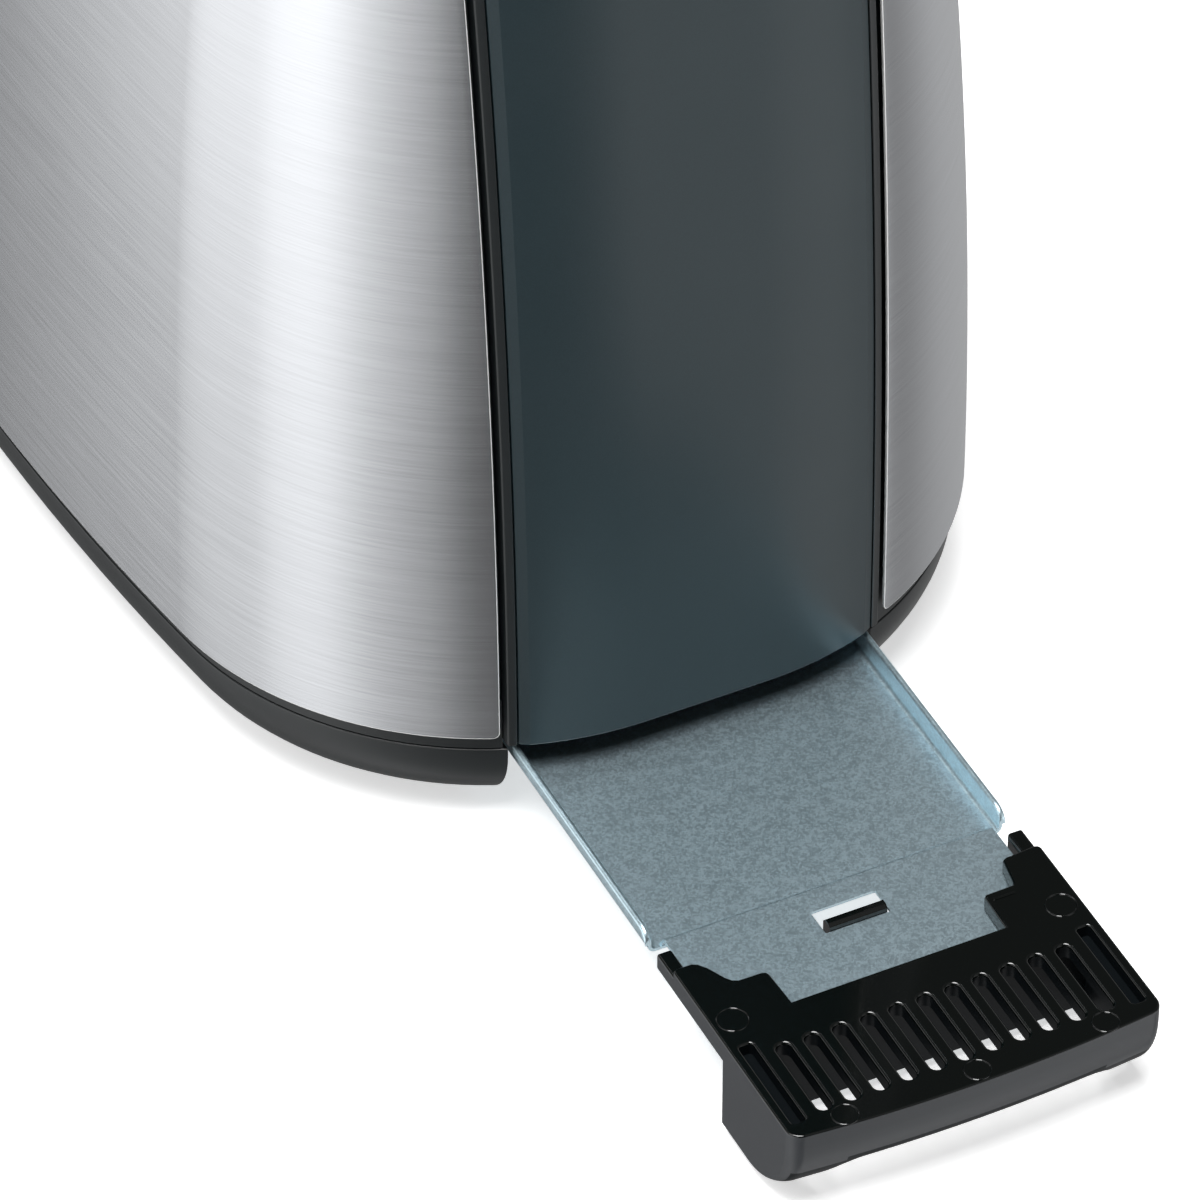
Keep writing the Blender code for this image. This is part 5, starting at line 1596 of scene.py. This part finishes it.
@dataclass
class BreadChamber:
    """The heaters with their ribbons, and the wire gates that centre the bread."""

    wire: float = 0.0008
    bars: int = 7
    turns: int = 13

    def build(self, bench: Workbench) -> None:
        """Winds the heaters and bends the gates."""
        for side in ("outer_left", "inner_left", "inner_right", "outer_right"):
            self.heater(bench, f"heater_{side}")
            self.gate(bench, f"bread_guide_{side}", f"guide_{side}")

    def heater(self, bench: Workbench, name: str) -> None:
        """A mica board with notched ends and a ribbon wound round it."""
        low, high = bench.low(name), bench.high(name)
        board = block(low, high)
        pitch = (high.z - low.z - 0.012) / self.turns
        notches = []
        for turn in range(self.turns):
            z = low.z + 0.006 + pitch * (turn + 0.5)
            for y in (low.y, high.y):
                notches.append(
                    block((low.x - 0.01, y - 0.0009, z - 0.0013), (high.x + 0.01, y + 0.0009, z + 0.0013))
                )
        board = boolean(board, "DIFFERENCE", [joined(*notches)])
        bench.piece(f"{name}_board", board, (Look.MICA,), "casing", [name], 30.0)
        path = []
        for turn in range(self.turns):
            z = low.z + 0.006 + pitch * (turn + 0.5)
            ring = [
                (low.x, low.y + 0.0009), (low.x, high.y - 0.0009), (high.x, high.y - 0.0009),
                (high.x, low.y + 0.0009)
            ]
            outline = [(x + math.copysign(0.00016, x - (low.x + high.x) / 2), y) for x, y in ring]
            path.append(loft([[(x, y, v) for x, y in outline] for v in (z - 0.0008, z + 0.0008)]))
        bench.piece(f"{name}_ribbon", joined(*path), (Look.RIBBON,), "casing")

    def gate(self, bench: Workbench, name: str, body: str) -> None:
        """A frame of round wire with upright bars, and its hinge wire along the bottom."""
        low, high = bench.low(name), bench.high(name)
        x, hinge, top = (low.x + high.x) / 2, low.z + self.wire, high.z - self.wire
        y_low, y_high = low.y + 0.008 + self.wire, high.y - 0.008 - self.wire
        bend = [(y_high - 0.003 + 0.003 * math.cos(a), top - 0.003 + 0.003 * math.sin(a))
                for a in (math.radians(15 * i) for i in range(7))]
        sweep = [(y_high, hinge)] + bend + [
            (y_low + y_high - y, z) for y, z in reversed(bend)
        ] + [(y_low, hinge)]
        parts = [wire([(x, y, z) for y, z in sweep], self.wire)]
        parts.append(wire([(x, low.y, hinge), (x, high.y, hinge)], self.wire - 0.0001))
        for bar in range(1, self.bars):
            y = y_low + (y_high - y_low) * bar / self.bars
            parts.append(wire([(x, y, hinge), (x, y, top)], self.wire - 0.0001))
        bench.piece(f"{name}_wires", joined(*parts), (Look.WIRE,), body, [name], 40.0)


@dataclass
class LiftSpring:
    """The coil that pushes the carriage up."""

    coils: int = 15
    coil_radius: float = 0.0037
    wire: float = 0.0006

    def build(self, bench: Workbench) -> None:
        """Winds it between its foot and the carriage's hub."""
        low, high = bench.low("lift_spring"), bench.high("lift_spring")
        centre, steps = bench.centre("lift_spring"), 20
        count = (self.coils + 2) * steps
        points = []
        for index in range(count + 1):
            turns = index / steps
            share = min(1.0, max(0.0, (turns - 1) / self.coils))
            rise = low.z + self.wire + (high.z - low.z - 2 * self.wire - 0.0026) * share
            rise += 0.0013 * (min(1.0, turns) + max(0.0, turns - 1 - self.coils))
            angle = math.tau * turns
            points.append((
                centre.x + self.coil_radius * math.cos(angle), centre.y + self.coil_radius * math.sin(angle),
                rise
            ))
        spring = bench.made("coil_spring", wire(points, self.wire, sides=2), (Look.WIRE,), 60.0)
        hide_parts("lift_spring")
        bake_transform(spring)


@dataclass
class Underside:
    """The feet, the screws and the lead's bush."""

    form: CasingForm

    def build(self, bench: Workbench) -> None:
        """Turns each."""
        for name in FEET:
            x, y, _ = bench.centre(name)
            rings = [(0, 0.0004), (
                0.0026, 0.0004
            ), (0.0030, 0.0), (0.0070, 0.0), (0.0078, 0.0003), (0.0083, 0.0012),
                     (
                         0.0084, 0.0022
                     ), (0.0029, 0.0022), (0.0029, 0.0050), (0.0042, 0.0050), (0.0030, 0.0075), (0, 0.0075)]
            bench.piece(f"{name}_pad", turned((x, y, 0), rings, steps=40), (Look.RUBBER,), "casing", [name])
        for name in SCREWS:
            x, y, _ = bench.centre(name)
            shape = [(0, 0.0056), (0.0022, 0.0056), (0.0029, 0.0059), (0.0031, 0.0064), (0.0031, 0.0077),
                     (0.0014, 0.0077), (0.0014, 0.0200), (0, 0.0206)]
            screw = turned((x, y, 0), shape, steps=32)
            cross = [
                block((x - a, y - b, 0.0), (x + a, y + b, 0.0068)) for a,
                b in ((0.0017, 0.00035), (0.00035, 0.0017))
            ]
            bench.piece(f"{name}_head", boolean(screw, "DIFFERENCE", cross), (Look.WIRE,), "casing", [name])
        place, direction = gland_place(self.form, 0.0018)
        ribs = [(0.0036, -0.0085), (0.0050, -0.0085), (0.0050, 0.0003), (0.0061, 0.0003), (0.0064, 0.0006),
                (0.0064, 0.0012), (0.0058, 0.0015), (0.0058, 0.0020), (0.0062, 0.0023), (0.0059, 0.0030),
                (0.0039, 0.0030), (0.0036, 0.0027), (0.0036, -0.0085)]
        bench.piece("lead_bush", turned(place, ribs, direction, 40), (Look.RUBBER,), "casing", ["cord_gland"])


@dataclass
class Electrics:
    """The winding on the holding magnet and the parts on the circuit board."""

    def build(self, bench: Workbench) -> None:
        """Adds them to the working model's own pieces."""
        outline = stadium(0.0290, 0.0840, 0.0098, 0.0108, 0.003, 4)
        coils = [
            wire([(x, y, 0.0318 + 0.00095 * turn) for x, y in outline], 0.00048, closed=True, sides=1)
            for turn in range(9)
        ]
        bench.piece("magnet_winding", joined(*coils), (Look.COPPER,), "casing")
        board = bench.low("circuit_board")
        chips = [
            block((-0.026, board.y - 0.0050, 0.034), (-0.018, board.y + 0.0002, 0.042), 0.0004, 2),
            block((0.016, board.y - 0.0036, 0.036), (0.027, board.y + 0.0002, 0.043), 0.0004, 2),
            block((-0.025, board.y - 0.0022, 0.052), (-0.015, board.y + 0.0002, 0.060), 0.0003, 2),
        ]
        bench.piece("board_parts", joined(*chips), (Look.GLOSS,), "casing")
        cans = [turned(
            (x, board.y + 0.0002, z), [(0, 0), (r, 0), (r, 0.0068), (r - 0.0004, 0.0072), (0, 0.0072)],
            (0, -1, 0), 24
        )
                for x, z, r in ((0.020, 0.053, 0.0032), (-0.0215, 0.0665, 0.0026))]
        bench.piece("board_cans", joined(*cans), (Look.WIRE,), "casing")


# --- Studio -------------------------------------------------------------------------------


@dataclass(frozen=True)
class Box:
    """A softbox in the surroundings: where its edges rise and fall, and its strength low and high."""

    rise: tuple[float, float]
    fall: tuple[float, float]
    strength: float
    slope: tuple[float, float] = (1.0, 1.0)


@dataclass
class Studio:
    """A pale floor, softboxes all round and the camera."""

    base: float = 0.30
    boxes: tuple[Box, ...] = (
        Box((26, 82), (122, 149), 1.00, (0.50, 1.34)),
        Box((60, 80), (97.0, 97.5), 0.24, (1.9, 0.45)),
        Box((-72, -54), (-35, 0), 0.95),
        Box((-150, -130), (-106, -72), 0.32),
    )
    floor_tone: float = 0.96
    floor_glow: float = 0.55
    camera_place: Point = (-0.4830, -1.06355, 0.9961)
    camera_turn: Point = (48.12, 0.0, -26.1)
    lens: float = 240.0

    def build(self) -> None:
        """Sets the stage."""
        scene = bpy.context.scene
        scene.view_settings.view_transform = "Standard"
        self.floor()
        self.surroundings(scene)
        self.lamp("overhead", (-0.45, -0.55, 2.2), (0, 0, 0), 1.2, 66.0)
        self.lamp("high_left", (-1.5, -0.2, 1.7), (0, -48, 0), 0.9, 7.0)
        data = bpy.data.cameras.new("camera")
        data.lens, data.sensor_width, data.clip_end = self.lens, 36.0, 50.0
        camera = bpy.data.objects.new("camera", data)
        camera.location = self.camera_place
        camera.rotation_euler = Euler([math.radians(a) for a in self.camera_turn])
        scene.collection.objects.link(camera)
        scene.camera = camera

    def floor(self) -> None:
        """A broad pale sweep that mirrors don't see."""
        bm = bmesh.new()
        bmesh.ops.create_grid(bm, x_segments=1, y_segments=1, size=6.0)
        mesh = bpy.data.meshes.new("floor")
        bm.to_mesh(mesh)
        bm.free()
        material = bpy.data.materials.new("paper_floor")
        material.use_nodes = True
        shader = material.node_tree.nodes["Principled BSDF"]
        graph = Graph(material.node_tree)
        fibre = graph.noise(graph.objects(), 900.0, 3.0)
        white = self.floor_tone
        tones = [(white * share, white * share, white * share, 1) for share in (1.0, 1.01)]
        colour = graph.mix(graph.spread(fibre, 0.3, 0.7, 0.0, 1.0), *tones)
        graph.tree.links.new(colour, shader.inputs["Base Color"])
        shader.inputs["Roughness"].default_value = 0.9
        shader.inputs["Specular IOR Level"].default_value = 0.1
        shader.inputs["Emission Color"].default_value = (1.0, 1.0, 1.0, 1.0)
        shader.inputs["Emission Strength"].default_value = self.floor_glow
        mesh.materials.append(material)
        sweep = bpy.data.objects.new("floor", mesh)
        sweep.visible_glossy = False
        bpy.context.scene.collection.objects.link(sweep)

    def surroundings(self, scene: bpy.types.Scene) -> None:
        """Softboxes as smooth bands of the world, by direction."""
        world = bpy.data.worlds.new("studio")
        scene.world = world
        world.use_nodes = True
        graph = Graph(world.node_tree)
        place = graph.add("ShaderNodeTexCoord").outputs["Generated"]
        split = graph.add("ShaderNodeSeparateXYZ", {"Vector": place})
        x, y, z = (split.outputs[i] for i in range(3))
        bearing = graph.math(
            "DEGREES", graph.math("ARCTAN2", graph.math("MULTIPLY", x, -1.0), graph.math("MULTIPLY", y, -1.0))
        )
        total: object = self.base
        for box in self.boxes:
            rise = graph.spread(bearing, *box.rise, 0.0, 1.0)
            fall = graph.spread(bearing, *box.fall, 1.0, 0.0)
            power = graph.spread(z, -0.64, -0.42, *(box.strength * share for share in box.slope))
            band = graph.math("MULTIPLY", graph.math("MULTIPLY", rise, fall), power)
            total = graph.math("ADD", total, band)
        flag = graph.math(
            "MULTIPLY", graph.spread(bearing, -14, 2, 0.0, 1.0), graph.spread(bearing, 22, 44, 1.0, 0.0)
        )
        depth = graph.spread(z, -0.67, -0.55, 0.07, 0.24)
        total = graph.math("SUBTRACT", total, graph.math("MULTIPLY", flag, depth))
        low = graph.spread(z, -0.72, -0.30, 0.68, 1.10)
        above = graph.spread(z, 0.0, 0.35, 1.0, 0.22)
        total = graph.math("MULTIPLY", graph.math("MULTIPLY", total, low), above)
        background = world.node_tree.nodes["Background"]
        graph.tree.links.new(total, background.inputs["Strength"])
        background.inputs["Color"].default_value = (1.0, 1.0, 1.0, 1.0)

    def lamp(self, name: str, place: Point, turn: Point, size: float, watts: float) -> None:
        """A square area light that the camera doesn't see."""
        data = bpy.data.lights.new(name, "AREA")
        data.shape, data.size, data.energy = "SQUARE", size, watts
        lamp = bpy.data.objects.new(name, data)
        lamp.location = place
        lamp.rotation_euler = Euler([math.radians(a) for a in turn])
        lamp.visible_camera = False
        bpy.context.scene.collection.objects.link(lamp)


def main() -> None:
    """Builds every sub-assembly and the studio round them."""
    bench, form = Workbench(), CasingForm()
    handle_y = bench.low("tray_handle").y + 0.0234
    for assembly in (
        SideSkins(form), EndPanels(form), HousingFrame(form), BaseDish(form), TopCover(form),
        CrumbTray(handle_y), TrayGrip(handle_y), Controls(), BreadChamber(), LiftSpring(),
        Underside(form), Electrics(),
    ):
        assembly.build(bench)
    bench.dress(
        Look.ZINC, "tray_rail_left", "tray_rail_right", "chassis_front", "chassis_rear", "heat_shield_left",
        "heat_shield_right", "bread_support_left", "bread_support_right", "lift_carriage", "lever_arm",
        "rod_bracket",
    )
    bench.dress(Look.WIRE, "guide_rod", "magnet_keeper", "electromagnet", "browning_control")
    bench.dress(Look.GLOSS, "terminal_block")
    bench.dress(Look.BOARD, "circuit_board")
    Studio().build()


if __name__ == "__main__":
    logging.basicConfig(level=logging.INFO)
    main()
